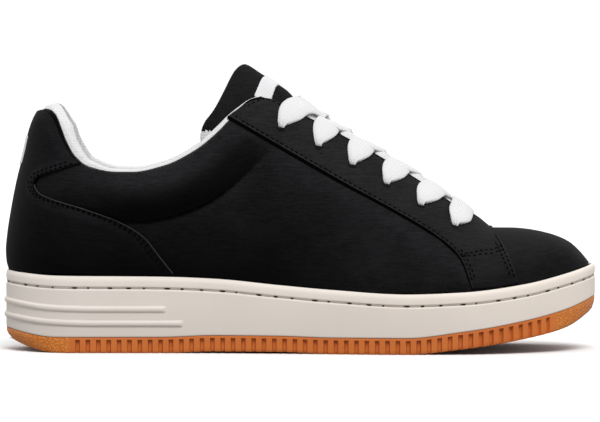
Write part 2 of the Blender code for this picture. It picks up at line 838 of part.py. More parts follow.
def build_laces():
    """Crossings from each eyelet to the next one's throat edge, and the lowest straight bar."""
    strips = []
    for index in range(EYELET_COUNT - 1):
        x, across = eyelet(index)
        next_x, _ = eyelet(index + 1)
        for side in (LATERAL, MEDIAL):
            raised = LACE_OVER if side == LATERAL else 0.0
            ends = (x, side * across), (next_x, -side * (throat_half(next_x) - LACE_TUCK))
            strips.append(lace_strip(f"lace_{index}_{side}", *ends, raised))
    x, across = eyelet(EYELET_COUNT - 1)
    bar = lace_strip("laces", (x, -across), (x, across), LACE_OVER / 2)
    others = bpy.data.collections.new("lace_strips")
    bpy.context.scene.collection.children.link(others)
    for strip in strips:
        bpy.context.scene.collection.objects.unlink(strip)
        others.objects.link(strip)
        strip.hide_render = True
        strip.display_type = "WIRE"
    union = bar.modifiers.new("join", "BOOLEAN")
    union.operation = "UNION"
    union.operand_type = "COLLECTION"
    union.collection = others
    union.solver = "EXACT"


def main():
    for leftover in list(bpy.data.objects):
        bpy.data.objects.remove(leftover)
    build_outsole()
    build_midsole()
    build_insole()
    build_upper()
    build_heel_counter()
    build_eyestay()
    build_collar_lining()
    build_tongue()
    build_laces()


main()
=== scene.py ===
"""Looks of a low lace-up cupsole sneaker for the right foot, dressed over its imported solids.

Lengths are millimetres until a vertex is placed. The soft pieces lie on a last close to that of
the solids: half_width() gives how far the shoe's surface lies from its middle plane at any x and z,
and grow moves that surface out or in. q is x with the heel stood upright.
"""
from collections import namedtuple

import bmesh
import bpy
import numpy as np
from mathutils import Matrix, Vector
from mathutils.kdtree import KDTree


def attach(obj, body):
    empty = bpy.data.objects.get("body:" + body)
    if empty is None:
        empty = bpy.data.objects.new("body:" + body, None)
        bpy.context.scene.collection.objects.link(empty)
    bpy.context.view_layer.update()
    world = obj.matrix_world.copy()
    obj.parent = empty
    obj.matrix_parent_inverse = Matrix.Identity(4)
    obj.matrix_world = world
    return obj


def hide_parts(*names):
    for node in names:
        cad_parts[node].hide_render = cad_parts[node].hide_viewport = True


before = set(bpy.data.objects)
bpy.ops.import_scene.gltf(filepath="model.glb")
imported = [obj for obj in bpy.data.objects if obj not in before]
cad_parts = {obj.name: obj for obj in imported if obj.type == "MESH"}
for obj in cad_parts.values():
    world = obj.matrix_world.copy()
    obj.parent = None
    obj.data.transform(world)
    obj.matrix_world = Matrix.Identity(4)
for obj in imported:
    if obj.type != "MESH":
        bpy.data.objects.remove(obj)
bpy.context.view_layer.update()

MM = 0.001
NO_WIDTH = 1e-6
# Name of the attribute of painted light and shade that scales the leather's colour
PAINTED_LIGHT_ATTRIBUTE = "painted_light_shade"
MERGE = 1e-6
WIDE_MERGE = 2e-6


def table(columns, *rows):
    """Rows of numbers with named columns."""
    row_kind = namedtuple("row_kind", columns)
    return [row_kind(*row) for row in rows]


# Main sizes of the shoe
LENGTH = 280.0
GAP = 0.3
WALL = 2.0
RIM_WIDTH = 3.0
RIB_PROUD = 0.9
HEEL_RADIUS = 36.0
TOE_REACH = 62.0
TOE_POWER = 2.2
BULGE = 1.0
COLLAR_SWELL = 3.2
LINING_DEPTH = 32.0
LINING_CLEAR = 0.8
LINING_FRONT = -18.0
NOTCH_COUNT = 47
NOTCH_WIDE = 2.2
NOTCH_DEEP = 1.6
NOTCH_ROOF = 1.2
NOTCH_FIRST = -104.2
NOTCH_LAST = 116.2
EYELET_COUNT = 6
EYELET_FIRST = -7.4
TOP_EYELET_BACK = 1.4
EYELET_PITCH = 16.0
EYELET_SPREAD = 0.6
PAD_EDGE = 9.0
PAD_FLARE = 0.5
PAD_START = 12.0
PAD_RUN = 14.0
RUBBER_INSET = 0.2
SWELL_LOW = 0.7
SWELL_FULL = 0.8
HEEL_CROWD = 1.6
WING_CURVE = 1.2
HEEL_FULLNESS = 1.05
FLAP_CLEAR = 1.0
VAMP_START = 91.0

LATERAL, MEDIAL = -1, 1
SIDES = (LATERAL, MEDIAL)
HEEL_END = -LENGTH / 2 + 0.8
TOE_END = LENGTH / 2
UPPER_HEEL = HEEL_END + RIM_WIDTH
UPPER_TOE = TOE_END - RIM_WIDTH
SIDE_START = UPPER_HEEL + HEEL_RADIUS - RIM_WIDTH
HEEL_LEAN_END = -60.0
LEAN_ROUNDS = 12
LEAST_RADIUS = 1.0

# Sole sections: half widths from the middle line, then heights of rim, cup floor, rubber seam and ground
SOLE = table(
    "x lateral medial middle rim floor seam ground",
    (-140, 36.0, 36.0, 0.0, 38.2, 23.0, 11.0, 6.0), (-115, 36.0, 36.0, 0.0, 36.2, 22.0, 7.3, 0.0),
    (-65, 36.5, 35.0, 0.0, 35.8, 21.0, 7.4, 0.0), (-40, 38.0, 34.5, 0.0, 34.9, 20.5, 8.3, 0.8),
    (-10, 41.5, 36.0, 0.0, 32.1, 18.5, 8.2, 0.8), (15, 45.5, 40.5, 0.0, 30.0, 16.5, 7.6, 0.0),
    (50, 50.3, 48.0, 0.0, 28.1, 15.0, 7.6, 0.0), (75, 50.5, 49.8, 0.2, 29.0, 16.0, 10.4, 2.4),
    (105, 47.5, 47.5, 2.4, 32.5, 19.8, 15.3, 6.9), (125, 45.5, 45.5, 4.2, 36.9, 24.6, 20.1, 11.6),
    (140, 45.0, 45.0, 5.2, 41.0, 29.6, 25.8, 20.0),
)

# Last sections: height of the ridge, of the widest line over the rim, and roundness of the arch
LAST = table(
    "x ridge rise power",
    (-140, 122.0, 14.0, 2.0), (-115, 128.0, 14.0, 2.0), (-85, 136.0, 13.0, 2.0),
    (-60, 140.0, 12.0, 1.95), (-30, 134.0, 11.0, 1.85), (0, 117.4, 10.0, 1.75), (35, 96.6, 7.0, 1.55),
    (60, 80.4, 5.0, 1.42), (80, 64.6, 4.0, 1.45), (85.5, 61.1, 4.0, 1.54), (89.4, 58.1, 4.0, 1.65),
    (91, 57.6, 4.0, 1.7), (101, 57.4, 5.0, 1.95), (113, 56.0, 5.0, 2.1), (121, 53.8, 5.0, 2.15),
    (128, 50.5, 4.0, 2.1), (133, 46.0, 2.0, 2.0), (137, 41.2, 0.6, 2.0),
)

# Back of the heel, seen from the side
HEEL_LINE = table(
    "z x",
    (38, -136.2), (42, -137.2), (47, -137.5), (55, -136.8), (67, -134.9),
    (78, -132.8), (93, -129.1), (105, -126.2), (112, -123.1), (118, -118.0),
)

# Collar edge of the leather, the lining's roll over it and the thickness of its padding
TOPLINE = table(
    "x z roll pad",
    (-136.2, 113.2, 2.9, 2.8), (-134.6, 113.5, 2.7, 3.2), (-131.8, 113.1, 2.0, 4.2),
    (-129.4, 112.1, 1.5, 4.8), (-127.0, 110.6, 1.6, 5.0), (-124.2, 108.0, 2.4, 5.0),
    (-121.0, 104.2, 4.2, 5.4), (-117.0, 98.7, 6.8, 6.0), (-110.5, 91.5, 6.2, 6.5),
    (-102.0, 86.8, 3.4, 6.5), (-87.0, 84.4, 1.6, 6.0), (-79.0, 84.4, 1.4, 6.0),
    (-64.0, 87.3, 1.6, 5.5), (-49.5, 94.3, 2.2, 4.2), (-38.0, 103.6, 3.2, 3.0),
    (-34.0, 107.8, 3.0, 2.2), (-28.3, 112.6, 2.7, 1.4), (-23.7, 115.7, 2.7, 0.8),
    (-18.0, 117.5, 2.7, 0.6),
)

# Lower seam of the padded collar
COLLAR_SEAM = table(
    "x z swell",
    (-127, 78.0, 0.0), (-119, 72.5, 0.12), (-102, 66.5, 0.4), (-85, 62.2, 0.9),
    (-74, 61.9, 1.0), (-61, 63.8, 1.0), (-46, 69.0, 1.0), (-33, 77.2, 0.9),
    (-22, 87.2, 0.6), (-12, 96.6, 0.0),
)

# Throat opening, and how its top corner is rounded off
THROAT_TOP = -18.0
THROAT_ROUND = 66.0
THROAT_END = 79.0
THROAT_HALF_TOP = 15.0
THROAT_HALF_TOE = 10.5
THROAT_CORNER = 1.25
THROAT_CORNER_RUN = 6.0

# Edges of the eyestay, and where each upper point is joined to a lower one
EYESTAY_LOWER = table(
    "x z",
    (-34.2, 109.6), (21.3, 78.0), (47.4, 63.9), (63.6, 54.1),
    (72.7, 46.8), (76.4, 41.0), (79.6, 31.0),
)
EYESTAY_FRONT = table(
    "x z",
    (91.0, 57.6), (96.0, 49.5), (100.0, 40.0), (102.0, 33.0),
)
EYESTAY_SPANS = table(
    "upper lower",
    (-18.0, -34.2), (0.0, -11.0), (30.0, 21.3), (55.0, 47.4), (72.0, 60.4),
    (79.0, 65.2), (86.0, 69.4), (91.0, 71.2), (92.2, 71.7), (93.8, 72.4),
    (96.0, 73.7), (100.0, 76.8), (102.0, 79.6),
)

# Heel counter: each row runs from the back of the heel to the overlay's front edge
COUNTER = table(
    "back_z front_x front_z",
    (37.4, -58.8, 36.2), (45.5, -65.9, 45.2), (53.2, -72.8, 53.8), (60.0, -83.8, 60.8),
    (66.0, -101.6, 67.4), (71.0, -116.6, 72.0), (75.0, -121.8, 74.6), (79.0, -123.9, 78.4),
    (86.0, -122.3, 81.2), (97.0, -117.0, 83.2), (113.2, -102.5, 87.6),
)
COUNTER_NOSE = 7
NOSE_SHARE = COUNTER_NOSE / (len(COUNTER) - 1)

# Tongue sections from the toe end to the top: crest, wing, half width, and how far the pad stands up
TONGUE = table(
    "crest wing half proud",
    (85.0, 85.0, 15.0, -0.4), (60.0, 60.0, 20.0, -1.4), (30.0, 28.0, 23.0, -1.6),
    (9.0, 2.0, 24.5, -0.6), (0.0, -10.0, 25.0, 1.6), (-7.0, -21.0, 23.6, 4.4),
    (-17.0, -34.0, 21.0, 4.7), (-25.4, -43.2, 19.2, 6.6), (-30.0, -48.6, 18.2, 4.2),
)
TONGUE_CORNER = 1.6
CORNER_ACROSS = 0.72
CORNER_WIDE = 0.28
CORNER_SHARE = 0.86
CORNER_LONG = 0.14
# White lining shows on the tongue's lower rear corners: behind this x and under this z
TONGUE_BARE_FRONT = -40.0
TONGUE_BARE_TOP = 103.7
# How far the tongue lies under the last: more where the collar's padding is outside it
TONGUE_SINK = table(
    "x depth",
    (-48, 7.4), (-36, 6.8), (-30, 5.0), (-14, 2.9), (85, 2.9),
)

# Ribs round the heel of the midsole
RIBS = table(
    "back_z side_z end",
    (16.8, 13.8, -56.0), (23.7, 20.5, -64.0),
)
RIB_RAMP = 1.6
RIB_SWEEP = 44.0
RIB_SET = 0.6

# Rows of the stitch channel and the rounded bead, down from the rim
BEAD = table(
    "below inset",
    (6.4, 0.1), (5.6, 0.9), (4.7, 0.1), (2.6, 0.0), (0.7, 0.4), (0.0, 1.4),
)


def fair_curve(xs, ys):
    """A smooth curve through a table's points that never overshoots them."""
    xs = np.asarray(xs, float)
    ys = np.asarray(ys, float)
    step = np.diff(xs)
    slope = np.diff(ys) / step
    tangent = np.zeros_like(ys)
    tangent[0] = slope[0]
    tangent[-1] = slope[-1]
    for i in range(1, len(xs) - 1):
        before, after = slope[i - 1], slope[i]
        if before * after > 0:
            near = 2 * step[i] + step[i - 1]
            far = step[i] + 2 * step[i - 1]
            tangent[i] = (near + far) / (near / before + far / after)

    def at(x):
        x = np.clip(x, xs[0], xs[-1])
        i = np.clip(np.searchsorted(xs, x) - 1, 0, len(step) - 1)
        t = (x - xs[i]) / step[i]
        start = (1 + 2 * t) * (1 - t) ** 2 * ys[i] + t * (1 - t) ** 2 * step[i] * tangent[i]
        stop = t * t * (3 - 2 * t) * ys[i + 1] + t * t * (t - 1) * step[i] * tangent[i + 1]
        return start + stop

    return at


def column(rows, name, by="x"):
    """One named column of a table as a curve over another."""
    return fair_curve([getattr(row, by) for row in rows], [getattr(row, name) for row in rows])


def by_row(rows, name):
    """One named column of a table as a curve over the row's share of the table."""
    return fair_curve(np.linspace(0, 1, len(rows)), [getattr(row, name) for row in rows])


sole_width = {LATERAL: column(SOLE, "lateral"), MEDIAL: column(SOLE, "medial")}
middle = column(SOLE, "middle")
rim_z = column(SOLE, "rim")
floor_z = column(SOLE, "floor")
seam_z = column(SOLE, "seam")
ground_z = column(SOLE, "ground")
ridge_z = column(LAST, "ridge")
rise = column(LAST, "rise")
power = column(LAST, "power")
heel_line = column(HEEL_LINE, "x", by="z")
topline_z = column(TOPLINE, "z")
lining_roll = column(TOPLINE, "roll")
lining_pad = column(TOPLINE, "pad")
collar_seam_z = column(COLLAR_SEAM, "z")
collar_swell = column(COLLAR_SEAM, "swell")
eyestay_lower_z = column(EYESTAY_LOWER, "z")
eyestay_front_z = column(EYESTAY_FRONT, "z")
tongue_sink = column(TONGUE_SINK, "depth")
eyestay_upper_x = by_row(EYESTAY_SPANS, "upper")
eyestay_lower_x = by_row(EYESTAY_SPANS, "lower")
counter_back_z = by_row(COUNTER, "back_z")
counter_front_x = by_row(COUNTER, "front_x")
counter_front_z = by_row(COUNTER, "front_z")
tongue_crest = by_row(TONGUE, "crest")
tongue_wing = by_row(TONGUE, "wing")
tongue_half = by_row(TONGUE, "half")
tongue_proud = by_row(TONGUE, "proud")


def ease(t):
    """Smooth step from 0 to 1."""
    t = np.clip(t, 0, 1)
    return t * t * (3 - 2 * t)


def heel_round(depth, radius):
    """Share of the full half width at a depth from the back of the heel."""
    back = 1 - np.clip(depth, 0, radius) / radius
    return np.sqrt(1 - back * back)


def toe_round(depth, reach):
    """Share of the full half width at a depth from the toe's tip."""
    front = 1 - np.clip(depth, 0, reach) / reach
    return (1 - front ** TOE_POWER) ** (1 / TOE_POWER)


def sole_half(side, x, inset):
    """Half width of the sole's outline, moved in by inset."""
    width = sole_width[side](x) - inset
    heel = heel_round(x - HEEL_END - inset, HEEL_RADIUS - inset)
    return width * heel * toe_round(TOE_END - inset - x, TOE_REACH - inset)


def bell(t):
    """A soft bump: 1 at 0, near 0 past 2."""
    return np.exp(-t * t)


def rounded(t):
    """A quarter-round rise from 0 to 1."""
    back = 1 - np.clip(t, 0, 1)
    return np.sqrt(1 - back * back)


def heel_lean(q, z):
    """How far the heel's slope has carried a station forward at a height."""
    return (1 - ease((q - UPPER_HEEL) / (HEEL_LEAN_END - UPPER_HEEL))) * (heel_line(z) - UPPER_HEEL)


def collar_share(q, z):
    """Share of the way up the padded collar, from its seam to the top line."""
    low = collar_seam_z(q)
    return np.clip((z - low) / (topline_z(q) - low), 0, 1)


def swell(x, z):
    """How far the padded collar stands out."""
    q = x - heel_lean(x, z)
    puff = np.sin(np.pi * collar_share(q, z) ** SWELL_LOW)
    return COLLAR_SWELL * collar_swell(q) * np.clip(puff, 0, 1) ** SWELL_FULL


def half_width(side, x, z, grow=0.0, puffed=True):
    """Half width of the last at x and z."""
    rim = rim_z(x)
    broad = rim + rise(x)
    base = sole_width[side](x) - RIM_WIDTH
    low_share = np.clip((z - rim) / rise(x), 0, 1)
    low = base + BULGE * np.sin(low_share * np.pi / 2) + grow
    climb = np.clip((z - broad) / (ridge_z(x) + grow - broad), 0, 1)
    high = (base + BULGE + grow) * (1 - climb ** power(x)) ** (1 / power(x))
    half = np.where(z <= broad, low, high)
    radius = np.minimum(HEEL_RADIUS - RIM_WIDTH + grow, HEEL_FULLNESS * half)
    half = half * heel_round(x - heel_line(z) + grow, np.maximum(radius, LEAST_RADIUS))
    half = half * toe_round(UPPER_TOE + grow - x, TOE_REACH - RIM_WIDTH + grow)
    return half + swell(x, z) if puffed else half


def crown_z(side, x, across, grow=0.0):
    """Height of the last's arch at a distance from its middle line."""
    broad = rim_z(x) + rise(x)
    width = sole_width[side](x) - RIM_WIDTH + BULGE + grow
    width = width * toe_round(UPPER_TOE + grow - x, TOE_REACH - RIM_WIDTH + grow)
    share = np.clip(np.abs(across) / np.maximum(width, NO_WIDTH), 0, 1)
    return broad + (ridge_z(x) + grow - broad) * (1 - share ** power(x)) ** (1 / power(x))


def arch_z(x, y, grow=0.0):
    """Height of the last's arch on either side of its middle line."""
    return np.where(y < 0, crown_z(LATERAL, x, y, grow), crown_z(MEDIAL, x, y, grow))


def level_of(x, z):
    """Height as a level: -1 at the foot of the wall, 0 at the widest line, 1 at the ridge."""
    broad = rim_z(x) + rise(x)
    foot = floor_z(x) + GAP
    climb = np.clip((z - broad) / (ridge_z(x) - broad), 0, 1)
    return np.where(z < broad, (z - broad) / (broad - foot), np.arcsin(climb ** (power(x) / 2)) * 2 / np.pi)


def height_of(x, level, grow=0.0):
    """The height of a level."""
    broad = rim_z(x) + rise(x)
    foot = floor_z(x) + GAP
    climb = np.sin(np.clip(level, 0, 1) * np.pi / 2) ** (2 / power(x))
    return np.where(level < 0, broad + level * (broad - foot), broad + climb * (ridge_z(x) + grow - broad))


def grown_x(q, grow):
    """A station moved out with the heel and the toe."""
    at_heel = 1 - ease((q - UPPER_HEEL) / HEEL_RADIUS)
    at_toe = ease((q - UPPER_TOE + TOE_REACH) / TOE_REACH)
    return q + grow * (at_toe - at_heel)


def wall_points(side, q, z, grow=0.0, puffed=True):
    """Points on the last."""
    q, z, grow = np.broadcast_arrays(q, z, grow)
    x = grown_x(q, grow) + heel_lean(q, z)
    y = middle(x) + side * half_width(side, x, z, grow, puffed)
    return np.stack((x, y, z), axis=-1)


def level_points(side, q, level, grow=0.0):
    """Points on the last at levels."""
    return wall_points(side, q, height_of(grown_x(q, grow), level, grow), grow)


def upright_x(x, z):
    """The q of points at x and z."""
    q = x
    for _ in range(LEAN_ROUNDS):
        q = x - heel_lean(q, z)
    return np.maximum(q, UPPER_HEEL)


def throat_half(q):
    """Half width of the throat opening, round at its toe end."""
    down = np.clip((q - THROAT_TOP) / (THROAT_ROUND - THROAT_TOP), 0, 1)
    share = np.clip((q - THROAT_ROUND) / (THROAT_END - THROAT_ROUND), 0, 1)
    return (THROAT_HALF_TOP + (THROAT_HALF_TOE - THROAT_HALF_TOP) * down) * np.sqrt(1 - share * share)


def top_z(side, q):
    """Top edge of the upper: collar, then throat, then the closed ridge."""
    corner = THROAT_CORNER * (1 - ease((q - THROAT_TOP) / THROAT_CORNER_RUN))
    throat = crown_z(side, q, throat_half(q)) - corner
    return np.where(q <= THROAT_TOP, topline_z(q), np.where(q < THROAT_END, throat, ridge_z(q)))


# Making meshes


def spread(start, stop, count):
    """Evenly spread values, without the last."""
    return np.linspace(start, stop, count, endpoint=False)


def heel_spread(start, radius, count):
    """Stations round a heel: close together at its back."""
    return start + radius * (1 - np.cos(spread(0, np.pi / 2, count)))


def toe_spread(start, stop, count):
    """Stations round a toe: close together at its tip."""
    return start + (stop - start) * np.sin(np.linspace(0, np.pi / 2, count))


def crowd_ends(count, crowding):
    """Shares from 0 to 1 that lie closer together at both ends."""
    even = np.linspace(-1, 1, count)
    crowded = np.tanh(crowding * even) / np.tanh(crowding)
    return (crowded + 1) / 2


def add_grid(bm, points, material=0, shade=None):
    """A grid whose corners take rows and columns of points; material is a slot, or one for each face."""
    rows, columns = points.shape[:2]
    slots = np.broadcast_to(material, (rows - 1, columns - 1))
    bm.loops.layers.uv.verify()
    if shade is not None:
        shade_layer = bm.verts.layers.float.get(PAINTED_LIGHT_ATTRIBUTE) or bm.verts.layers.float.new(PAINTED_LIGHT_ATTRIBUTE)
    first_face = len(bm.faces)
    made = bmesh.ops.create_grid(bm, x_segments=columns - 1, y_segments=rows - 1, size=0.5, calc_uvs=True)
    bm.faces.ensure_lookup_table()
    for face in bm.faces[first_face:]:
        centre = face.calc_center_median()
        cell = int((centre.y + 0.5) * (rows - 1)), int((centre.x + 0.5) * (columns - 1))
        face.material_index = int(slots[cell])
    for vert in made["verts"]:
        corner = round((vert.co.y + 0.5) * (rows - 1)), round((vert.co.x + 0.5) * (columns - 1))
        vert.co = points[corner] * MM
        if shade is not None:
            vert[shade_layer] = shade[corner]


def finish_piece(name, bm, materials, replaces=(), merge=MERGE):
    """Close a bmesh into a smooth named piece that rides on the shoe."""
    bmesh.ops.remove_doubles(bm, verts=bm.verts, dist=merge)
    bmesh.ops.recalc_face_normals(bm, faces=bm.faces)
    mesh = bpy.data.meshes.new(name)
    bm.to_mesh(mesh)
    bm.free()
    piece = bpy.data.objects.new(name, mesh)
    bpy.context.scene.collection.objects.link(piece)
    for material in materials:
        mesh.materials.append(material)
    mesh.shade_smooth()
    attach(piece, "root")
    if replaces:
        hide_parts(*replaces)
    return piece


def fill_ends(bm):
    """Close every open edge loop."""
    bmesh.ops.remove_doubles(bm, verts=bm.verts, dist=MERGE)
    bmesh.ops.holes_fill(bm, edges=[edge for edge in bm.edges if edge.is_boundary])


def unit(vectors):
    """Vectors of length 1."""
    return vectors / np.linalg.norm(vectors, axis=-1, keepdims=True)


def distance_to(border, points):
    """Distance of each point of a table to the nearest point of a border."""
    tree = KDTree(len(border))
    for index, corner in enumerate(border):
        tree.insert(corner, index)
    tree.balance()
    flat = points.reshape(-1, 3)
    return np.array([tree.find(corner)[2] for corner in flat]).reshape(points.shape[:2])


def along(points, pitch, start=0.5):
    """Places at an even pitch along a line of points, as shares of its length."""
    step = np.linalg.norm(np.diff(points, axis=0), axis=1)
    run = np.concatenate(([0.0], np.cumsum(step)))
    count = max(int(run[-1] / pitch), 1)
    return np.interp((np.arange(count) + start) * run[-1] / count, run, np.linspace(0, 1, len(run)))


def sample(points, shares):
    """Points of a line at shares of its count."""
    at = np.linspace(0, 1, len(points))
    return np.stack([np.interp(shares, at, points[:, axis]) for axis in range(3)], axis=-1)


def add_stitches(bm, line, above, pitch, size, fineness=1, start=0.5):
    """Rounded stitches along a line; above is the same line lifted off the surface.

    Size is length, width and height. A stitch points along a short stretch of the line round its middle.
    """
    shares = along(line, pitch, start)
    step = STITCH_STRETCH / max(len(line), 2)
    centres = sample(line, shares)
    ahead = sample(line, np.clip(shares + step, 0, 1)) - sample(line, np.clip(shares - step, 0, 1))
    lift = sample(above, shares) - centres
    for centre, direction, up in zip(centres, ahead, lift):
        forward = Vector(direction).normalized()
        across = Vector(up).cross(forward).normalized()
        outward = forward.cross(across)
        turn = Matrix((forward, across, outward)).transposed().to_4x4()
        stretch = Matrix.Diagonal((*(0.5 * length * MM for length in size), 1))
        place = Matrix.Translation(Vector(centre) * MM)
        bmesh.ops.create_icosphere(bm, subdivisions=fineness, radius=1, matrix=place @ turn @ stretch)


# Materials


def feed(tree, socket, value):
    """Join a socket to another one, or set it to a plain value."""
    if isinstance(value, bpy.types.NodeSocket):
        tree.links.new(value, socket)
    else:
        socket.default_value = value


def feed_all(tree, node, inputs):
    """Join or set a node's named inputs."""
    for name, value in inputs.items():
        feed(tree, node.inputs[name], value)


def add_node(tree, kind, inputs=None, **settings):
    """A shader node with its properties and its named inputs set."""
    made = tree.nodes.new(kind)
    for name, value in settings.items():
        setattr(made, name, value)
    feed_all(tree, made, inputs or {})
    return made


def maths(tree, operation, *values):
    """A Math node; its inputs are sockets or numbers."""
    made = add_node(tree, "ShaderNodeMath", operation=operation)
    for socket, value in zip(made.inputs, values):
        feed(tree, socket, value)
    return made.outputs[0]


def times(tree, first, second):
    """The product of two sockets, or of a socket and a number."""
    return maths(tree, "MULTIPLY", first, second)


def noise(tree, vector, scale, detail=2.0, roughness=0.5):
    """A Noise Texture's value; scale is in features per metre, a number or a socket."""
    inputs = {"Vector": vector, "Scale": scale, "Detail": detail, "Roughness": roughness}
    return add_node(tree, "ShaderNodeTexNoise", inputs).outputs["Fac"]


def stretched(tree, vector, scale):
    """Coordinates scaled along each axis."""
    return add_node(tree, "ShaderNodeMapping", {"Vector": vector, "Scale": scale}).outputs["Vector"]


def axes(tree, vector):
    """The X, Y and Z of coordinates."""
    return add_node(tree, "ShaderNodeSeparateXYZ", {"Vector": vector}).outputs


def map_range(tree, value, low, high, to_low=0.0, to_high=1.0):
    """A value remapped from one range to another and held there."""
    inputs = {"Value": value, "From Min": low, "From Max": high, "To Min": to_low, "To Max": to_high}
    return add_node(tree, "ShaderNodeMapRange", inputs).outputs["Result"]


def mix_colour(tree, share, first, second):
    """Two colours mixed by a share; each is a socket or a triple."""
    made = add_node(tree, "ShaderNodeMix", {"Factor": share}, data_type="RGBA")
    for name, value in (("A", first), ("B", second)):
        socket = next(s for s in made.inputs if s.name == name and s.type == "RGBA")
        feed(tree, socket, value if isinstance(value, bpy.types.NodeSocket) else (*value, 1))
    return next(s for s in made.outputs if s.type == "RGBA")


def faded(tree, height, colour, low):
    """A colour of which only a share, low, is left at the foot of a height."""
    return mix_colour(tree, height, [low * part for part in colour], colour)


def new_group(name, inputs, outputs):
    """An empty shader node group that takes coordinates and named numbers, and gives named numbers."""
    group = bpy.data.node_groups.new(name, "ShaderNodeTree")
    group.interface.new_socket(name="Vector", in_out="INPUT", socket_type="NodeSocketVector")
    for way, labels in (("INPUT", inputs), ("OUTPUT", outputs)):
        for label in labels:
            group.interface.new_socket(name=label, in_out=way, socket_type="NodeSocketFloat")
    return group, group.nodes.new("NodeGroupInput").outputs, group.nodes.new("NodeGroupOutput").inputs


# Shares of the nap's shade, and sizes of its pattern
STREAK_STRETCH = (0.12, 0.12, 1.0)
STREAK_RELIEF = 0.6
SPECK_SHARE = 0.4
STREAK_SHARE = 0.3
CLOUD_SHARE = 0.3
PILE_SCALE = 1500.0
CLOUD_SCALE = 45.0
GRAIN_SCALE = 1600.0
# Where the colours change, in metres: up the leather and up the cupsole, painted shade towards the sole;
# along the cupsole; and at the pebbles
LEATHER_FADE = (0.036, 0.08)
CUPSOLE_ALONG = (-0.1, 0.12)
CUPSOLE_FADE = (0.006, 0.024)
PEBBLE_HEEL = (-0.1085, -0.1075)
PEBBLE_TOE = (0.1195, 0.1205)
PEBBLE_SCALE = 1050.0
PORE_SCALE = 800.0
TWIST_SCALE = 3000.0
LACE_PICKS = 40.0
LACE_RIBS = 46.0
CHEVRON_LEAN = 2.2


def make_nap_group():
    """Brushed leather: fine pile, faint level streaks and soft clouding."""
    group, given, result = new_group("brushed_nap", ["Pile", "Clouds"], ["Height", "Shade"])
    pile = noise(group, given["Vector"], given["Pile"], detail=3.0, roughness=0.65)
    streaks = noise(group, stretched(group, given["Vector"], STREAK_STRETCH), given["Pile"], detail=1.0)
    clouds = noise(group, given["Vector"], given["Clouds"], detail=3.0, roughness=0.6)
    speck = times(group, map_range(group, pile, 0.38, 0.66), SPECK_SHARE)
    bands = times(group, map_range(group, streaks, 0.36, 0.64), STREAK_SHARE)
    cloud = times(group, map_range(group, clouds, 0.34, 0.66), CLOUD_SHARE)
    feed(group, result["Height"], maths(group, "ADD", pile, times(group, streaks, STREAK_RELIEF)))
    feed(group, result["Shade"], maths(group, "ADD", maths(group, "ADD", speck, bands), cloud))
    return group


def make_weave_group():
    """Over-and-under threads on two axes of the coordinates; Thread is threads per unit. Shade is painted
    shade, darker where the threads dip.
    """
    group, given, result = new_group("plain_weave", ["Thread"], ["Height", "Shade"])
    split = axes(group, given["Vector"])
    waves = []
    for axis in ("X", "Y"):
        turns = times(group, split[axis], given["Thread"])
        waves.append(maths(group, "SINE", times(group, turns, 2 * np.pi)))
    height = times(group, *waves)
    feed(group, result["Height"], height)
    feed(group, result["Shade"], map_range(group, height, -1.0, 1.0))
    return group


def make_dust_group():
    """Faint soiling in soft patches."""
    group, given, result = new_group("soiling", ["Patch"], ["Mask", "Grain"])
    patches = noise(group, given["Vector"], given["Patch"], detail=4.0, roughness=0.6)
    feed(group, result["Mask"], map_range(group, patches, 0.45, 0.8))
    feed(group, result["Grain"], noise(group, given["Vector"], GRAIN_SCALE))
    return group


GROUPS = {"nap": make_nap_group(), "weave": make_weave_group(), "dust": make_dust_group()}


def use_group(tree, name, vector, **values):
    """A shared effect placed in a material."""
    return add_node(tree, "ShaderNodeGroup", {"Vector": vector, **values}, node_tree=GROUPS[name]).outputs


def new_material(name, roughness, specular):
    """A material with its own shader; returns it, its tree, its shader and its object coordinates."""
    material = bpy.data.materials.new(name)
    material.use_nodes = True
    tree = material.node_tree
    shader = tree.nodes["Principled BSDF"]
    feed_all(tree, shader, {"Roughness": roughness, "Specular IOR Level": specular})
    return material, tree, shader, add_node(tree, "ShaderNodeTexCoord").outputs


def add_bump(tree, shader, height, strength, distance):
    """Relief from a height, in millimetres of distance."""
    inputs = {"Strength": strength, "Distance": distance * MM, "Height": height}
    feed(tree, shader.inputs["Normal"], add_node(tree, "ShaderNodeBump", inputs).outputs["Normal"])


def make_nubuck(name, dark, light, low=1.0, shaded=False):
    """Black brushed leather with a short nap; low is how much of its colour is left down at the sole, as
    painted shade.

    A shaded one also takes the piece's own painted light and shade from its attribute.
    """
    material, tree, shader, at = new_material(name, 0.8, 0.03)
    nap = use_group(tree, "nap", at["Object"], Pile=PILE_SCALE, Clouds=CLOUD_SCALE)
    height = map_range(tree, axes(tree, at["Object"])["Z"], *LEATHER_FADE)
    colour = mix_colour(tree, nap["Shade"], *(faded(tree, height, colour, low) for colour in (dark, light)))
    if shaded:
        # the piece's painted light and shade scales the colour
        painted_light_node = add_node(tree, "ShaderNodeAttribute", attribute_name=PAINTED_LIGHT_ATTRIBUTE)
        colour = mix_colour(tree, painted_light_node.outputs["Fac"], (0.0, 0.0, 0.0), colour)
    rough = map_range(tree, nap["Shade"], 0.0, 1.0, 0.72, 0.9)
    feed_all(tree, shader, {"Base Color": colour, "Roughness": rough})
    feed_all(tree, shader, {"Sheen Weight": 0.03, "Sheen Roughness": 0.45})
    add_bump(tree, shader, nap["Height"], 0.5, 0.12)
    return material


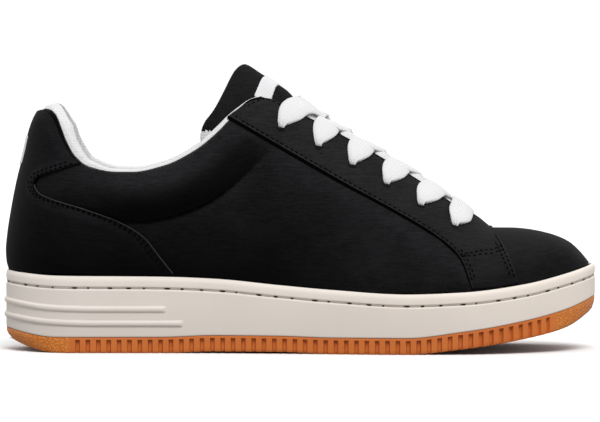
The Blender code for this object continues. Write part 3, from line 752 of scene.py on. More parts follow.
def make_cream_rubber(name, heel, toe, low=1.0):
    """Moulded cream rubber, lightly soiled; low is how much of its colours is left at its foot, as painted
    shade.
    """
    material, tree, shader, at = new_material(name, 0.55, 0.3)
    dust = use_group(tree, "dust", at["Object"], Patch=22.0)
    split = axes(tree, at["Object"])
    toeward = map_range(tree, split["X"], *CUPSOLE_ALONG)
    height = map_range(tree, split["Z"], *CUPSOLE_FADE)
    base = mix_colour(tree, toeward, *(faded(tree, height, colour, low) for colour in (heel, toe)))
    soiled = mix_colour(tree, times(tree, dust["Mask"], 0.3), base, (0.66, 0.59, 0.53))
    rough = map_range(tree, dust["Grain"], 0.3, 0.7, 0.48, 0.62)
    feed_all(tree, shader, {"Base Color": soiled, "Roughness": rough})
    add_bump(tree, shader, dust["Grain"], 0.25, 0.04)
    return material


def make_gum_rubber():
    """Amber gum rubber, pebbled at the heel and the toe, with painted light on the pebbles and painted
    shade between them.
    """
    material, tree, shader, at = new_material("gum_rubber", 0.5, 0.35)
    dust = use_group(tree, "dust", at["Object"], Patch=30.0)
    split = axes(tree, at["Object"])
    heel = map_range(tree, split["X"], *PEBBLE_HEEL, 1.0, 0.0)
    pebbled = maths(tree, "MAXIMUM", heel, map_range(tree, split["X"], *PEBBLE_TOE))
    inputs = {"Vector": at["Object"], "Scale": PEBBLE_SCALE}
    pebbles = add_node(tree, "ShaderNodeTexVoronoi", inputs, feature="F1")
    lump = map_range(tree, pebbles.outputs["Distance"], 0.15, 0.6, 1.0, 0.0)
    base = mix_colour(tree, dust["Mask"], (0.62, 0.165, 0.03), (0.535, 0.13, 0.024))
    # pebble tops lighter and the pits between darker: painted light and shade
    lit_pebbles = mix_colour(tree, lump, (0.56, 0.16, 0.02), (0.82, 0.28, 0.045))
    feed(tree, shader.inputs["Base Color"], mix_colour(tree, pebbled, base, lit_pebbles))
    height = maths(tree, "ADD", times(tree, lump, pebbled), times(tree, dust["Grain"], 0.12))
    add_bump(tree, shader, height, 0.6, 0.4)
    return material


def make_tread_rubber():
    """The gum rubber's walking face: wave-shaped tread ribs, darker between them as painted shade."""
    material, tree, shader, at = new_material("gum_tread", 0.6, 0.3)
    inputs = {"Vector": at["Object"], "Scale": 60.0, "Distortion": 3.0, "Detail": 0.0, "Detail Scale": 0.4}
    kind = {"wave_type": "BANDS", "bands_direction": "X", "wave_profile": "SIN"}
    ridge = map_range(tree, add_node(tree, "ShaderNodeTexWave", inputs, **kind).outputs["Fac"], 0.35, 0.65)
    colour = mix_colour(tree, ridge, (0.27, 0.07, 0.018), (0.43, 0.118, 0.028))
    feed(tree, shader.inputs["Base Color"], colour)
    add_bump(tree, shader, ridge, 1.0, 1.0)
    return material


def make_lining_mesh():
    """White spacer mesh: small open pores on a padded knit, darker in the pores as painted shade."""
    material, tree, shader, at = new_material("lining_mesh", 0.9, 0.15)
    inputs = {"Vector": at["Object"], "Scale": PORE_SCALE, "Randomness": 0.25}
    pores = add_node(tree, "ShaderNodeTexVoronoi", inputs, feature="F1")
    open_pore = map_range(tree, pores.outputs["Distance"], 0.12, 0.42)
    colour = mix_colour(tree, open_pore, (0.58, 0.58, 0.59), (0.70, 0.70, 0.705))
    feed(tree, shader.inputs["Base Color"], colour)
    add_bump(tree, shader, open_pore, 0.6, 0.25)
    return material


def make_lace_weave():
    """Flat white lace: ribs run down its length and lean in a shallow chevron to its middle; it is darker
    between ribs and picks as painted shade.
    """
    material, tree, shader, at = new_material("lace_weave", 0.85, 0.15)
    split = axes(tree, at["UV"])
    off_middle = maths(tree, "PINGPONG", times(tree, split["Y"], 4.0), 1.0)
    run = times(tree, split["X"], LACE_PICKS)
    chevron = maths(tree, "ADD", run, times(tree, off_middle, CHEVRON_LEAN))
    picks = maths(tree, "SINE", times(tree, chevron, 2 * np.pi))
    ribs = maths(tree, "SINE", times(tree, split["Y"], 2 * np.pi * LACE_RIBS))
    height = maths(tree, "ADD", times(tree, picks, 0.5), ribs)
    shade = map_range(tree, height, -1.2, 1.0)
    colour = mix_colour(tree, shade, (0.65, 0.65, 0.66), (0.79, 0.79, 0.795))
    feed_all(tree, shader, {"Base Color": colour, "Sheen Weight": 0.1})
    add_bump(tree, shader, height, 0.45, 0.12)
    return material


def make_woven_cloth(name, dark, light, threads):
    """Plain woven cloth."""
    material, tree, shader, at = new_material(name, 0.88, 0.15)
    weave = use_group(tree, "weave", at["Object"], Thread=threads)
    feed(tree, shader.inputs["Base Color"], mix_colour(tree, weave["Shade"], dark, light))
    add_bump(tree, shader, weave["Height"], 0.5, 0.15)
    return material


def make_thread(name, dark, light):
    """Twisted sewing thread."""
    material, tree, shader, at = new_material(name, 0.9, 0.05)
    twist = noise(tree, at["Object"], TWIST_SCALE)
    feed(tree, shader.inputs["Base Color"], mix_colour(tree, twist, dark, light))
    add_bump(tree, shader, twist, 0.3, 0.05)
    return material


# Sewn-on sheets: thickness, cut edges and stitches
EYESTAY_THICK = 2.1
STRAP_SKIVE = 1.3
SKIVE_START = 60.0
SKIVE_RUN = 28.0
COUNTER_THICK = 1.9
COUNTER_EDGE = 7.0
COUNTER_EDGE_MOST = 0.6
COUNTER_LEAST = 9.0
COUNTER_TOP = 0.86
COUNTER_CUT_FROM = 0.01
COUNTER_ROWS = (0.03, 0.985)
NEAR_EDGE = 0.1
CUT_HEIGHT = 1.0
CUT_RADIUS = 0.32
# Black cord along the eyestay's lower edge, its dark cut edge with painted shadow under it: height, radius
# and distance inside
STAY_EDGE_SHADOW_HEIGHT = 0.3
STAY_EDGE_SHADOW_RADIUS = 0.6
STAY_EDGE_SHADOW_INSIDE = 0.3
SHEET_FOOT = -0.4
SHEET_ROUND = 0.7
REAR_SHARE = 0.06
REAR_FINE = 0.16
LEAST_ACROSS = 1.0
STITCH_STRETCH = 0.3
STITCH_SINK = 0.35
STITCH_HALF = 0.6
FLUSH = 0.0
STITCH_ROW = 1.55
SECOND_ROW = 3.5
STITCH_PITCH = 2.6
STITCH_SIZE = (2.0, 1.0, 0.7)
STITCH_STARTS = {STITCH_ROW: 0.5, SECOND_ROW: 0.0}
# Where the eyestay's black edge cord, its cut edge with painted shadow under it, and its stitch runs begin
# and end, as shares of its length
EDGE_SHADOW_FROM = 0.004
THROAT_RUN_FROM = 0.015
LOWER_RUN_FROM = 0.02
REAR_ROW = 0.011
RUN_END = 0.97
ACROSS_FROM = 0.03
# The same, in millimetres from the throat's end and the vamp
THROAT_RUN_CLEAR = 2.0
FRONT_RUN_PAST = 1.8
STRAP_RUN_PAST = 3.5
STRAP_ROWS_PAST = (4.6, 5.4)

# Relief of the upper, then painted light and shade on the colours of the upper and the sewn-on sheets
VAMP_SEAM = 88.0
COLLAR_PLUMP = 4.8
PLUMP_LOW = 0.72
SEAM_DEEP = 2.6
SEAM_WIDE = 4.0
SEAM_SHARP = 1.3
STAY_CLEAR = 4.0
EDGE_TURN = 0.4
EDGE_RUN = 1.2
CALM_HEEL = -128.0
CALM_HEEL_RUN = 24.0
CALM_TOE = 134.0
CALM_TOE_RUN = 14.0
# Painted light and shade: lit top and shaded foot of the collar's puff, light below its seam, shade at the
# arch and low down, light under the eyestay; then the sheets' plain level and their black border, the dark
# cut edge with painted shade
PUFF_LIGHT = 1.6
PUFF_DARK = 0.35
PUFF_FROM = 0.3
PUFF_RUN = 0.5
SEAM_GLOW = 0.4
SEAM_GLOW_WIDE = 10.0
ARCH_DARK = 0.25
ARCH_FROM = -20.0
ARCH_RUN = 60.0
LOW_FROM = 36.0
LOW_RUN = 44.0
STAY_GLOW = 0.6
STAY_GLOW_WIDE = 9.0
STAY_GLOW_FROM = -34.0
STAY_GLOW_TO = 80.0
SHEET_PAINTED_LEVEL = 0.62
BORDER_DARK = 0.3
BORDER_RUN = 0.3
# Painted highlights along the rims of the sewn-on sheets: distance from the border, half width and strength
Rim = namedtuple("Rim", "line half glow")
STAY_RIM = Rim(0.75, 0.45, 0.3)
COUNTER_RIM = Rim(2.6, 2.4, 0.5)

# Tongue and labels
TONGUE_THICK = 7.0
TONGUE_ROUND = 4.2
LABEL_THICK = 0.5
LABEL_ROUND = 0.08
TONGUE_LABEL_ALONG = (0.66, 0.735)
TONGUE_LABEL_ACROSS = (-0.42, 0.42)
HEEL_LABEL_UP = (88.0, 101.0)
HEEL_LABEL_REACH = 0.7

# Laces and their holes
LACE_WIDE = 12.4
LACE_THICK = 2.2
LACE_NARROW = 0.22
LACE_STEP = 16.0
LACE_INSIDE = 1.0
TOP_LACE_STEP = 27.0
TOP_LACE_LIFT = 0.5
TOP_LACE_SINK = 1.8
TOP_TUCK = 1.2
LACE_CROSS = 0.35
CROSS_WIDE = 9.0
BAR_LEAN = 19.0
BAR_LIFT = 1.9
LACE_GATHER = 0.3
LACE_FOLD = 0.3
LACE_FOLDS = 5
LACE_SIDES = 40
LACE_FLAT_POWER = 0.8
LACE_HIGH_POWER = 0.85
FAN_LONG = 13.0
FAN_FULL = 1.05
TIP_HIDDEN = 0.6
HOLE_DIVE = 1.5
TUCK_DIVE = 3.6
TUCK_FROM = 0.82
TUCK_RUN = 0.18
DIVE_SHARE = 0.02
LACE_BOW = 0.6
PAD_BOW = 4.5
HOLE_ACROSS = 24.2
HOLE_RADIUS = 2.0
HOLE_MOUTH = 2.3
HOLE_DEEP = 0.5

# Soft troughs and ridges of the leather: place, half length, half width, slope and height
CREASES = table(
    "x z long wide slope high",
    (66, 44, 16, 3.2, 1.35, -0.7), (58, 47, 18, 3.5, 1.2, 0.5),
    (50, 42, 14, 3.0, 1.25, -0.45), (10, 60, 26, 6.0, 0.5, 0.6),
    (-6, 50, 22, 5.0, 0.4, -0.6), (-36, 58, 18, 5.0, -0.2, 0.7),
    (-54, 50, 15, 4.0, 0.7, -0.5), (-90, 74, 14, 4.5, 0.1, -0.5),
    (-70, 78, 10, 4.0, -0.3, 0.4), (112, 50, 8, 3.5, 1.4, -0.3),
)


def crease_relief(x, z):
    """Height of the leather's soft creases over the last."""
    total = np.zeros(np.broadcast(x, z).shape)
    for crease in CREASES:
        turn = np.arctan(crease.slope)
        dx, dz = x - crease.x, z - crease.z
        run = dx * np.cos(turn) + dz * np.sin(turn)
        off = dz * np.cos(turn) - dx * np.sin(turn)
        total = total + crease.high * bell(run / crease.long) * bell(off / crease.wide)
    return total


def upper_relief(q, z):
    """Height of the upper over the last: plump collar, sunk seam, turned top edge and creases."""
    share = collar_share(q, z)
    plump = COLLAR_PLUMP * np.sin(np.pi * share ** PLUMP_LOW)
    over_seam = z - collar_seam_z(q)
    seam = SEAM_DEEP * bell(over_seam / np.where(over_seam > 0, SEAM_WIDE, SEAM_SHARP))
    under_stay = ease((z - eyestay_lower_z(q) + STAY_CLEAR) / STAY_CLEAR)
    collar = collar_swell(q) * (plump - seam) * (1 - under_stay)
    turned = EDGE_TURN * (1 - rounded((topline_z(q) - z) / EDGE_RUN)) * (q < THROAT_TOP)
    calm = ease((q - CALM_HEEL) / CALM_HEEL_RUN) * ease((CALM_TOE - q) / CALM_TOE_RUN)
    return (collar + crease_relief(q, z)) * calm - turned


def painted_light_shade(q, z):
    """Painted light and shade on the upper's colour, from 0 to 1: painted shade at the foot of the collar's
    puff, at the arch and low down; painted light on the puff's top, below its seam and under the eyestay.
    """
    over_seam = z - collar_seam_z(q)
    puff = PUFF_DARK + (PUFF_LIGHT - PUFF_DARK) * ease((collar_share(q, z) - PUFF_FROM) / PUFF_RUN)
    below = 1 + SEAM_GLOW * bell(over_seam / SEAM_GLOW_WIDE)
    collar = 1 + collar_swell(q) * (np.where(over_seam > 0, puff, below) - 1)
    arch = ARCH_DARK + (1 - ARCH_DARK) * ease((q - ARCH_FROM) / ARCH_RUN)
    low = arch + (1 - arch) * np.clip((z - LOW_FROM) / LOW_RUN, 0, 1)
    by_stay = bell((eyestay_lower_z(q) - z) / STAY_GLOW_WIDE) * (q > STAY_GLOW_FROM) * (q < STAY_GLOW_TO)
    glow = 1 + STAY_GLOW * by_stay
    return np.clip(collar * low * glow / PUFF_LIGHT, 0, 1)


def upper_stations():
    """Stations of the upper, close together round the heel, the throat's end and the toe."""
    heel = heel_spread(UPPER_HEEL, HEEL_RADIUS - RIM_WIDTH, 34)
    side = spread(SIDE_START, THROAT_TOP, 62)
    throat = spread(THROAT_TOP, THROAT_ROUND, 62)
    throat_end = toe_spread(THROAT_ROUND, THROAT_END, 10)
    vamp = spread(THROAT_END + 1, VAMP_START, 9)
    return np.concatenate((heel, side, throat, throat_end, vamp, toe_spread(VAMP_START, UPPER_TOE, 44)))


def build_upper(quarter, vamp, lining):
    """The hollow upper: both sides meet at the heel's back, the ridge of the vamp and the toe."""
    q = upper_stations()[None, :]
    low = np.linspace(-1, 0, 12)[:-1, None]
    climb = np.linspace(0, 1, 62)[:, None]
    panel = (q[:, 1:] > VAMP_SEAM).astype(int)
    bm = bmesh.new()
    for side in SIDES:
        levels = np.concatenate((low + 0 * q, climb * level_of(q, top_z(side, q))))
        plain = level_points(side, q + 0 * levels, levels)
        relief = upper_relief(q + 0 * levels, plain[..., 2])
        add_grid(bm, level_points(side, q + 0 * levels, levels, relief), panel, painted_light_shade(q, plain[..., 2]))
    materials = [quarter, vamp, lining, lining]
    piece = finish_piece("upper_leather", bm, materials, ["upper"], merge=WIDE_MERGE)
    wall = piece.modifiers.new("wall", "SOLIDIFY")
    wall.thickness = WALL * MM
    wall.offset = -1
    wall.material_offset = 2


def eyestay_points(side, u, v, grow):
    """Points of the eyestay: u runs from the collar to the toe strap, v down from the throat's edge."""
    high, low = eyestay_upper_x(u), eyestay_lower_x(u)
    high_z = np.where(high <= VAMP_START, top_z(side, high), eyestay_front_z(high))
    q = high + (low - high) * v
    high_level = level_of(high, high_z)
    level = high_level + (level_of(low, eyestay_lower_z(low)) - high_level) * v
    first, last = EYESTAY_SPANS[0].upper, EYESTAY_SPANS[0].lower
    rear = first + (last - first) * v
    straight = level_of(first, topline_z(first)) * (1 - v) + level_of(last, topline_z(last)) * v
    level = level + (level_of(rear, topline_z(rear)) - straight) * (1 - ease(u / REAR_SHARE))
    return level_points(side, q, level, grow)


def stay_thick(x):
    """Thickness of the eyestay: skived thinner towards its toe strap."""
    return EYESTAY_THICK - STRAP_SKIVE * ease((x - SKIVE_START) / SKIVE_RUN)


def sheet_height(away, thick, rows):
    """Height of a sewn-on sheet at a distance from its border, sunk along its stitch rows."""
    height = SHEET_FOOT + (thick - SHEET_FOOT) * rounded(away / SHEET_ROUND)
    for row in rows:
        height = height - STITCH_SINK * bell((away - row) / STITCH_HALF)
    return height


def add_walls(bm, front, back, edges, shade=None):
    """Walls that join a front and a back along their free edges."""
    for edge in edges:
        wall_shade = None if shade is None else np.stack((shade[edge], shade[edge]))
        add_grid(bm, np.stack((front[edge], back[edge])), shade=wall_shade)


def add_sheet(bm, surface, border, thick, rows, rim, edges):
    """A sewn-on sheet: a raised outer skin, a plain back and walls along its free edges.

    Thick is a function of x. Its painted light and shade is black at the border, partly the dark cut edge
    and partly painted shade, with a painted highlight along a rim inside it.
    """
    flat = surface(0.0)
    away = distance_to(border, flat)
    # painted light and shade: a painted highlight along the rim, then black at the border, partly the dark
    # cut edge and partly painted shade
    nap = SHEET_PAINTED_LEVEL + rim.glow * bell((away - rim.line) / rim.half)
    nap = nap * ease((away - BORDER_DARK) / BORDER_RUN)
    skin = surface(sheet_height(away, thick(flat[..., 0]), rows))
    back = surface(SHEET_FOOT)
    add_grid(bm, skin, shade=nap)
    add_grid(bm, back)
    add_walls(bm, skin, back, edges, nap)


def add_cord(bm, line, radius, sides=10):
    """A round cord along a line."""
    forward = unit(np.gradient(line, axis=0))
    across = unit(np.cross(forward, (0.0, 1.0, 0.0)))
    outward = np.cross(forward, across)
    turn = np.linspace(0, 2 * np.pi, sides + 1)[:, None, None]
    add_grid(bm, line[None] + radius * (np.cos(turn) * across[None] + np.sin(turn) * outward[None]))


def on_ridge(u):
    """Where the eyestay's two sides meet on the ridge, between the throat and the vamp."""
    return (eyestay_upper_x(u) > THROAT_END) & (eyestay_upper_x(u) < VAMP_START)


def eyestay_border(u):
    """Points along the eyestay's free edges on both sides."""
    end = np.linspace(0, 1, 60)
    edges = []
    for side in SIDES:
        free = u[~on_ridge(u)]
        edges.append(eyestay_points(side, free, np.zeros_like(free), 0.0))
        edges.append(eyestay_points(side, u, np.ones_like(u), 0.0))
        edges.append(eyestay_points(side, np.zeros_like(end), end, 0.0))
    return np.concatenate(edges)


def raised_points(side, u, v, above):
    """Points above the eyestay's outer face, or under it."""
    x = eyestay_upper_x(u) + (eyestay_lower_x(u) - eyestay_upper_x(u)) * v
    return eyestay_points(side, u, v, stay_thick(x) + above)


def eyestay_line(side, u, down, from_top, above):
    """A line inside the eyestay's top or lower edge, at a distance down from it or up."""
    top = eyestay_points(side, u, np.zeros_like(u), EYESTAY_THICK)
    foot = eyestay_points(side, u, np.ones_like(u), EYESTAY_THICK)
    share = down / np.maximum(np.linalg.norm(top - foot, axis=-1), LEAST_ACROSS)
    return raised_points(side, u, share if from_top else 1 - share, above)


def build_eyestay(nubuck, thread, dark):
    """The eyestay down both sides of the throat with its toe strap, its stitches and its lace holes."""
    u = np.concatenate((crowd_ends(60, 1.4)[:-1] * REAR_FINE, np.linspace(REAR_FINE, 1, 170)))
    v = crowd_ends(46, 2.0)
    border = eyestay_border(np.linspace(0, 1, 1200))
    ridge = np.flatnonzero(on_ridge(u))
    edges = (np.s_[0, :ridge[0] + 1], np.s_[0, ridge[-1]:], -1, np.s_[:, 0], np.s_[:, -1])
    bm = bmesh.new()
    for side in SIDES:
        grid = np.meshgrid(u, v)
        surface = lambda grow: eyestay_points(side, *grid, grow)
        add_sheet(bm, surface, border, stay_thick, (STITCH_ROW,), STAY_RIM, edges)
    finish_piece("eyestay_leather", bm, [nubuck], ["eyestay"], merge=WIDE_MERGE)
    # Black cord along the lower edge: the dark cut edge, with painted shadow under it
    cut_edge = bmesh.new()
    lower = np.linspace(EDGE_SHADOW_FROM, RUN_END, 400)
    above = STAY_EDGE_SHADOW_HEIGHT - stay_thick(eyestay_lower_x(lower))
    for side in SIDES:
        line = eyestay_line(side, lower, STAY_EDGE_SHADOW_INSIDE, False, above)
        add_cord(cut_edge, line, STAY_EDGE_SHADOW_RADIUS)
    fill_ends(cut_edge)
    finish_piece("eyestay_edge_and_shadow", cut_edge, [thread])
    build_eyestay_stitches(thread)
    build_eyelets(dark)


def span_share(upper):
    """The u at which the eyestay's top edge is at a station."""
    u = np.linspace(0, 1, 2000)
    return float(np.interp(upper, eyestay_upper_x(u), u))


def build_eyestay_stitches(thread):
    """Rows along the eyestay's edges and round its toe strap."""
    bm = bmesh.new()
    throat = np.linspace(THROAT_RUN_FROM, span_share(THROAT_END - THROAT_RUN_CLEAR), 200)
    lower = np.linspace(LOWER_RUN_FROM, RUN_END, 300)
    front = np.linspace(span_share(VAMP_START + FRONT_RUN_PAST), RUN_END, 120)
    strap = np.linspace(span_share(VAMP_START + STRAP_RUN_PAST), RUN_END, 80)
    runs = (
        (throat, STITCH_ROW, True, -STITCH_SINK),
        (lower, STITCH_ROW, False, -STITCH_SINK),
        (front, STITCH_ROW, True, -STITCH_SINK),
        (strap, SECOND_ROW, True, FLUSH),
        (strap, SECOND_ROW, False, FLUSH),
    )
    across = np.linspace(ACROSS_FROM, RUN_END, 60)
    rows = [(span_share(VAMP_START + past), FLUSH) for past in STRAP_ROWS_PAST]
    rows.append((REAR_ROW, -STITCH_SINK))
    for side in SIDES:
        for u, down, from_top, level in runs:
            lines = [eyestay_line(side, u, down, from_top, level + up) for up in (0, 1)]
            add_stitches(bm, *lines, STITCH_PITCH, STITCH_SIZE, start=STITCH_STARTS[down])
        for place, level in rows:
            lines = [raised_points(side, np.full_like(across, place), across, level + up) for up in (0, 1)]
            add_stitches(bm, *lines, STITCH_PITCH, STITCH_SIZE)
    finish_piece("eyestay_stitches", bm, [thread])


def eyelet(index):
    """Station of an eyelet and its distance from the middle line."""
    back = TOP_EYELET_BACK if index == 0 else 0.0
    return EYELET_FIRST + EYELET_PITCH * index - back, HOLE_ACROSS + EYELET_SPREAD * index


def build_eyelets(dark):
    """Punched lace holes: small dark rounds in the eyestay, painted shade for the holes' insides."""
    bm = bmesh.new()
    for index in range(EYELET_COUNT):
        x, across = eyelet(index)
        for side in SIDES:
            y = middle(x) + side * across
            z = arch_z(x, y, stay_thick(x))
            slope_x = arch_z(x + 1, y, stay_thick(x)) - z
            slope_y = arch_z(x, y + 1, stay_thick(x)) - z
            up = Vector((-slope_x, -slope_y, 1)).normalized()
            turn = up.to_track_quat("Z", "Y").to_matrix().to_4x4()
            place = Matrix.Translation(Vector((x, y, float(z))) * MM) @ turn
            bmesh.ops.create_cone(bm, cap_ends=True, segments=20, radius1=HOLE_RADIUS * MM,
                                  radius2=HOLE_MOUTH * MM, depth=HOLE_DEEP * MM, matrix=place)
    finish_piece("lace_holes", bm, [dark])


def counter_points(side, reach, share, grow):
    """Points of the heel counter: reach runs forward from the heel's back, share up from the sole."""
    front = upright_x(counter_front_x(share), counter_front_z(share))
    q = UPPER_HEEL + (front - UPPER_HEEL) * reach
    z = counter_back_z(share) + (counter_front_z(share) - counter_back_z(share)) * reach
    top = COUNTER[-1]
    top_q = UPPER_HEEL + (upright_x(np.array(top.front_x), top.front_z) - UPPER_HEEL) * reach
    straight = top.back_z + (top.front_z - top.back_z) * reach
    tab = np.clip((share - NOSE_SHARE) / (1 - NOSE_SHARE), 0, 1)
    return wall_points(side, q, z + tab * (topline_z(top_q) - straight), grow)


def counter_reach(share, steps):
    """Reaches that lie close together at the front edge, at the same distances in every row."""
    front = upright_x(counter_front_x(share), counter_front_z(share))
    width = np.maximum(front - UPPER_HEEL, COUNTER_LEAST)
    edge = np.minimum(COUNTER_EDGE / width, COUNTER_EDGE_MOST)
    near = 1 - edge * np.linspace(0, 1, steps)[::-1, None]
    far = (1 - edge) * np.linspace(0, 1, 2 * steps, endpoint=False)[:, None] ** HEEL_CROWD
    return np.concatenate((far, near)).T


def counter_line(side, share, inside, grow):
    """A line inside the counter's front edge."""
    edge = counter_points(side, np.ones_like(share), share, grow)
    near = counter_points(side, np.full_like(share, 1 - NEAR_EDGE), share, grow)
    reach = 1 - NEAR_EDGE * inside / np.linalg.norm(edge - near, axis=-1)
    return counter_points(side, reach, share, grow)


def build_counter(nubuck, raw_edge, thread):
    """The heel counter with its tab up to the collar, and two rows of stitches inside its edge."""
    top = COUNTER_TOP + (1 - COUNTER_TOP) * crowd_ends(30, 1.5)
    share = np.concatenate((np.linspace(0, COUNTER_TOP, 100)[:-1], top))
    reach = counter_reach(share, 26)
    edge_share = np.linspace(0, 1, 700)
    cut_share = np.linspace(COUNTER_CUT_FROM, NOSE_SHARE, 240)
    border = [counter_points(side, np.ones_like(edge_share), edge_share, 0.0) for side in SIDES]
    border += [counter_points(side, edge_share, np.ones_like(edge_share), 0.0) for side in SIDES]
    border = np.concatenate(border)
    bm = bmesh.new()
    stitches = bmesh.new()
    cut_edge = bmesh.new()
    row_share = np.linspace(*COUNTER_ROWS, 500)
    for side in SIDES:
        surface = lambda grow: counter_points(side, reach, share[:, None] + 0 * reach, grow)
        add_sheet(bm, surface, border, lambda x: COUNTER_THICK, (), COUNTER_RIM, (0, -1, np.s_[:, -1]))
        add_cord(cut_edge, counter_points(side, np.ones_like(cut_share), cut_share, CUT_HEIGHT), CUT_RADIUS)
        for inside in (STITCH_ROW, SECOND_ROW):
            lines = [counter_line(side, row_share, inside, COUNTER_THICK + up) for up in (0, 1)]
            add_stitches(stitches, *lines, STITCH_PITCH, STITCH_SIZE, start=STITCH_STARTS[inside])
    fill_ends(cut_edge)
    finish_piece("counter_leather", bm, [nubuck], ["heel_counter"], merge=WIDE_MERGE)
    finish_piece("counter_cut_edge", cut_edge, [raw_edge])
    finish_piece("counter_stitches", stitches, [thread])


# The collar lining's section: shares of its clearance, padding and roll, and plain drop
LINING_RING = table(
    "outside pad roll drop",
    (1.0, 0.0, 0.0, -LINING_DEPTH), (1.0, 0.0, 0.0, -8.0), (1.0, 0.0, 0.0, -1.0), (0.7, 0.0, 0.0, 0.2),
    (0.16, 0.0, 0.05, 0.25), (0.2, 0.0, 0.5, 0.2), (0.6, 0.02, 0.85, 0.1), (1.0, 0.2, 1.0, 0.1),
    (1.0, 0.5, 0.85, -0.3), (1.0, 0.76, 0.35, -2.0), (1.0, 0.95, 0.0, -6.5), (1.0, 1.08, 0.0, -13.0),
    (1.0, 0.8, 0.0, -22.0), (1.0, 0.3, 0.0, -LINING_DEPTH), (1.0, 0.0, 0.0, -LINING_DEPTH),
)


def build_lining(mesh_cloth):
    """The padded white lining that rolls over the collar's edge."""
    back = heel_spread(UPPER_HEEL, HEEL_RADIUS - RIM_WIDTH, 34)
    stations = np.concatenate((back, np.linspace(SIDE_START, LINING_FRONT, 70)))
    rows = np.linspace(0, 1, 64)
    ring = {name: by_row(LINING_RING, name)(rows)[:, None] for name in LINING_RING[0]._fields}
    q = stations[None, :]
    depth = ring["outside"] * (WALL + LINING_CLEAR) + ring["pad"] * lining_pad(q)
    z = topline_z(q) + ring["roll"] * lining_roll(q) + ring["drop"]
    bm = bmesh.new()
    for side in SIDES:
        add_grid(bm, wall_points(side, q + 0 * z, z, -depth, puffed=False))
    fill_ends(bm)
    piece = finish_piece("collar_padding", bm, [mesh_cloth], ["collar_lining"])


def tongue_points(share, across, grow):
    """Points of the tongue's face: share runs from the toe end to the top, across from -1 to 1."""
    x = tongue_crest(share) + (tongue_wing(share) - tongue_crest(share)) * np.abs(across) ** WING_CURVE
    corner = np.clip((np.abs(across) - CORNER_ACROSS) / CORNER_WIDE, 0, 1) ** 2
    x = x + TONGUE_CORNER * (corner * ease((share - CORNER_SHARE) / CORNER_LONG))
    y = tongue_half(share) * np.sin(across * np.pi / 2)
    flare = PAD_FLARE * np.maximum(THROAT_TOP - x, 0.0)
    flap = throat_half(np.maximum(x, THROAT_TOP)) - FLAP_CLEAR + flare
    pad = 1 - ease((np.abs(y) - flap + PAD_EDGE + flare) / (PAD_EDGE + flare))
    z = arch_z(x, y, grow - tongue_sink(x)) + tongue_proud(share) * pad
    return np.stack((x, middle(x) + y, z), axis=-1)


def build_tongue(nubuck, lining):
    """The padded tongue: leather face, white lining under it, one round edge between them."""
    share = crowd_ends(130, 1.2)
    across = crowd_ends(70, 1.4) * 2 - 1
    grid = np.meshgrid(share, across)
    plain = tongue_points(*grid, 0.0)
    edge = np.linspace(-1, 1, 300)
    ends = np.ones_like(edge)
    border = np.concatenate((
        tongue_points(ends, edge, 0.0),
        tongue_points((edge + 1) / 2, ends, 0.0),
        tongue_points((edge + 1) / 2, -ends, 0.0),
    ))
    full = TONGUE_THICK / 2 * rounded(distance_to(border, plain) / TONGUE_ROUND)
    bm = bmesh.new()
    front, back = (tongue_points(*grid, side * full - TONGUE_THICK / 2) for side in (1, -1))
    add_grid(bm, front)
    add_grid(bm, back, material=1)
    add_walls(bm, front, back, (0, -1, np.s_[:, 0], np.s_[:, -1]))
    for face in bm.faces:
        centre = face.calc_center_median() / MM
        if centre.x < TONGUE_BARE_FRONT and centre.z < TONGUE_BARE_TOP:
            face.material_index = 1
    piece = finish_piece("tongue_pad", bm, [nubuck, lining], ["tongue"], merge=WIDE_MERGE)


def build_labels(cloth):
    """Plain woven labels with nothing on them: one on the tongue's front, one on the back of the heel."""
    bm = bmesh.new()
    share, across = np.meshgrid(np.linspace(*TONGUE_LABEL_ALONG, 26), np.linspace(*TONGUE_LABEL_ACROSS, 40))
    stand = LABEL_THICK * rounded(label_margin(share.shape) / LABEL_ROUND)
    for lift in (stand, -stand):
        add_grid(bm, tongue_points(share, across, lift))
    reach, height = np.meshgrid(np.linspace(0, HEEL_LABEL_REACH, 24), np.linspace(*HEEL_LABEL_UP, 26))
    stand = LABEL_THICK * rounded(HEEL_LABEL_REACH - reach)
    for side in SIDES:
        front = wall_points(side, UPPER_HEEL + reach, height, COUNTER_THICK + stand)
        back = wall_points(side, UPPER_HEEL + reach, height, COUNTER_THICK - stand)
        add_grid(bm, front)
        add_grid(bm, back)
        add_walls(bm, front, back, (0, -1))
    finish_piece("blank_labels", bm, [cloth])


def label_margin(shape):
    """Distance of a label's points from its rim, as a share of its size."""
    rows = np.minimum(np.linspace(0, 1, shape[0]), np.linspace(1, 0, shape[0]))
    columns = np.minimum(np.linspace(0, 1, shape[1]), np.linspace(1, 0, shape[1]))
    return np.minimum(rows[:, None], columns[None, :])


def lace_bed(x, y):
    """Height of what a lace lies on: the eyestay, then nearly straight from flap to flap."""
    edge = throat_half(np.clip(x, THROAT_TOP, THROAT_ROUND))
    pad = PAD_BOW * ease((PAD_START - x) / PAD_RUN)
    bow = (LACE_BOW + pad) * (1 - np.minimum(np.abs(y) / edge, 1) ** 2)
    out = np.where(y < 0, -1, 1) * np.maximum(np.abs(y), edge)
    return arch_z(x, out, stay_thick(x)) + bow


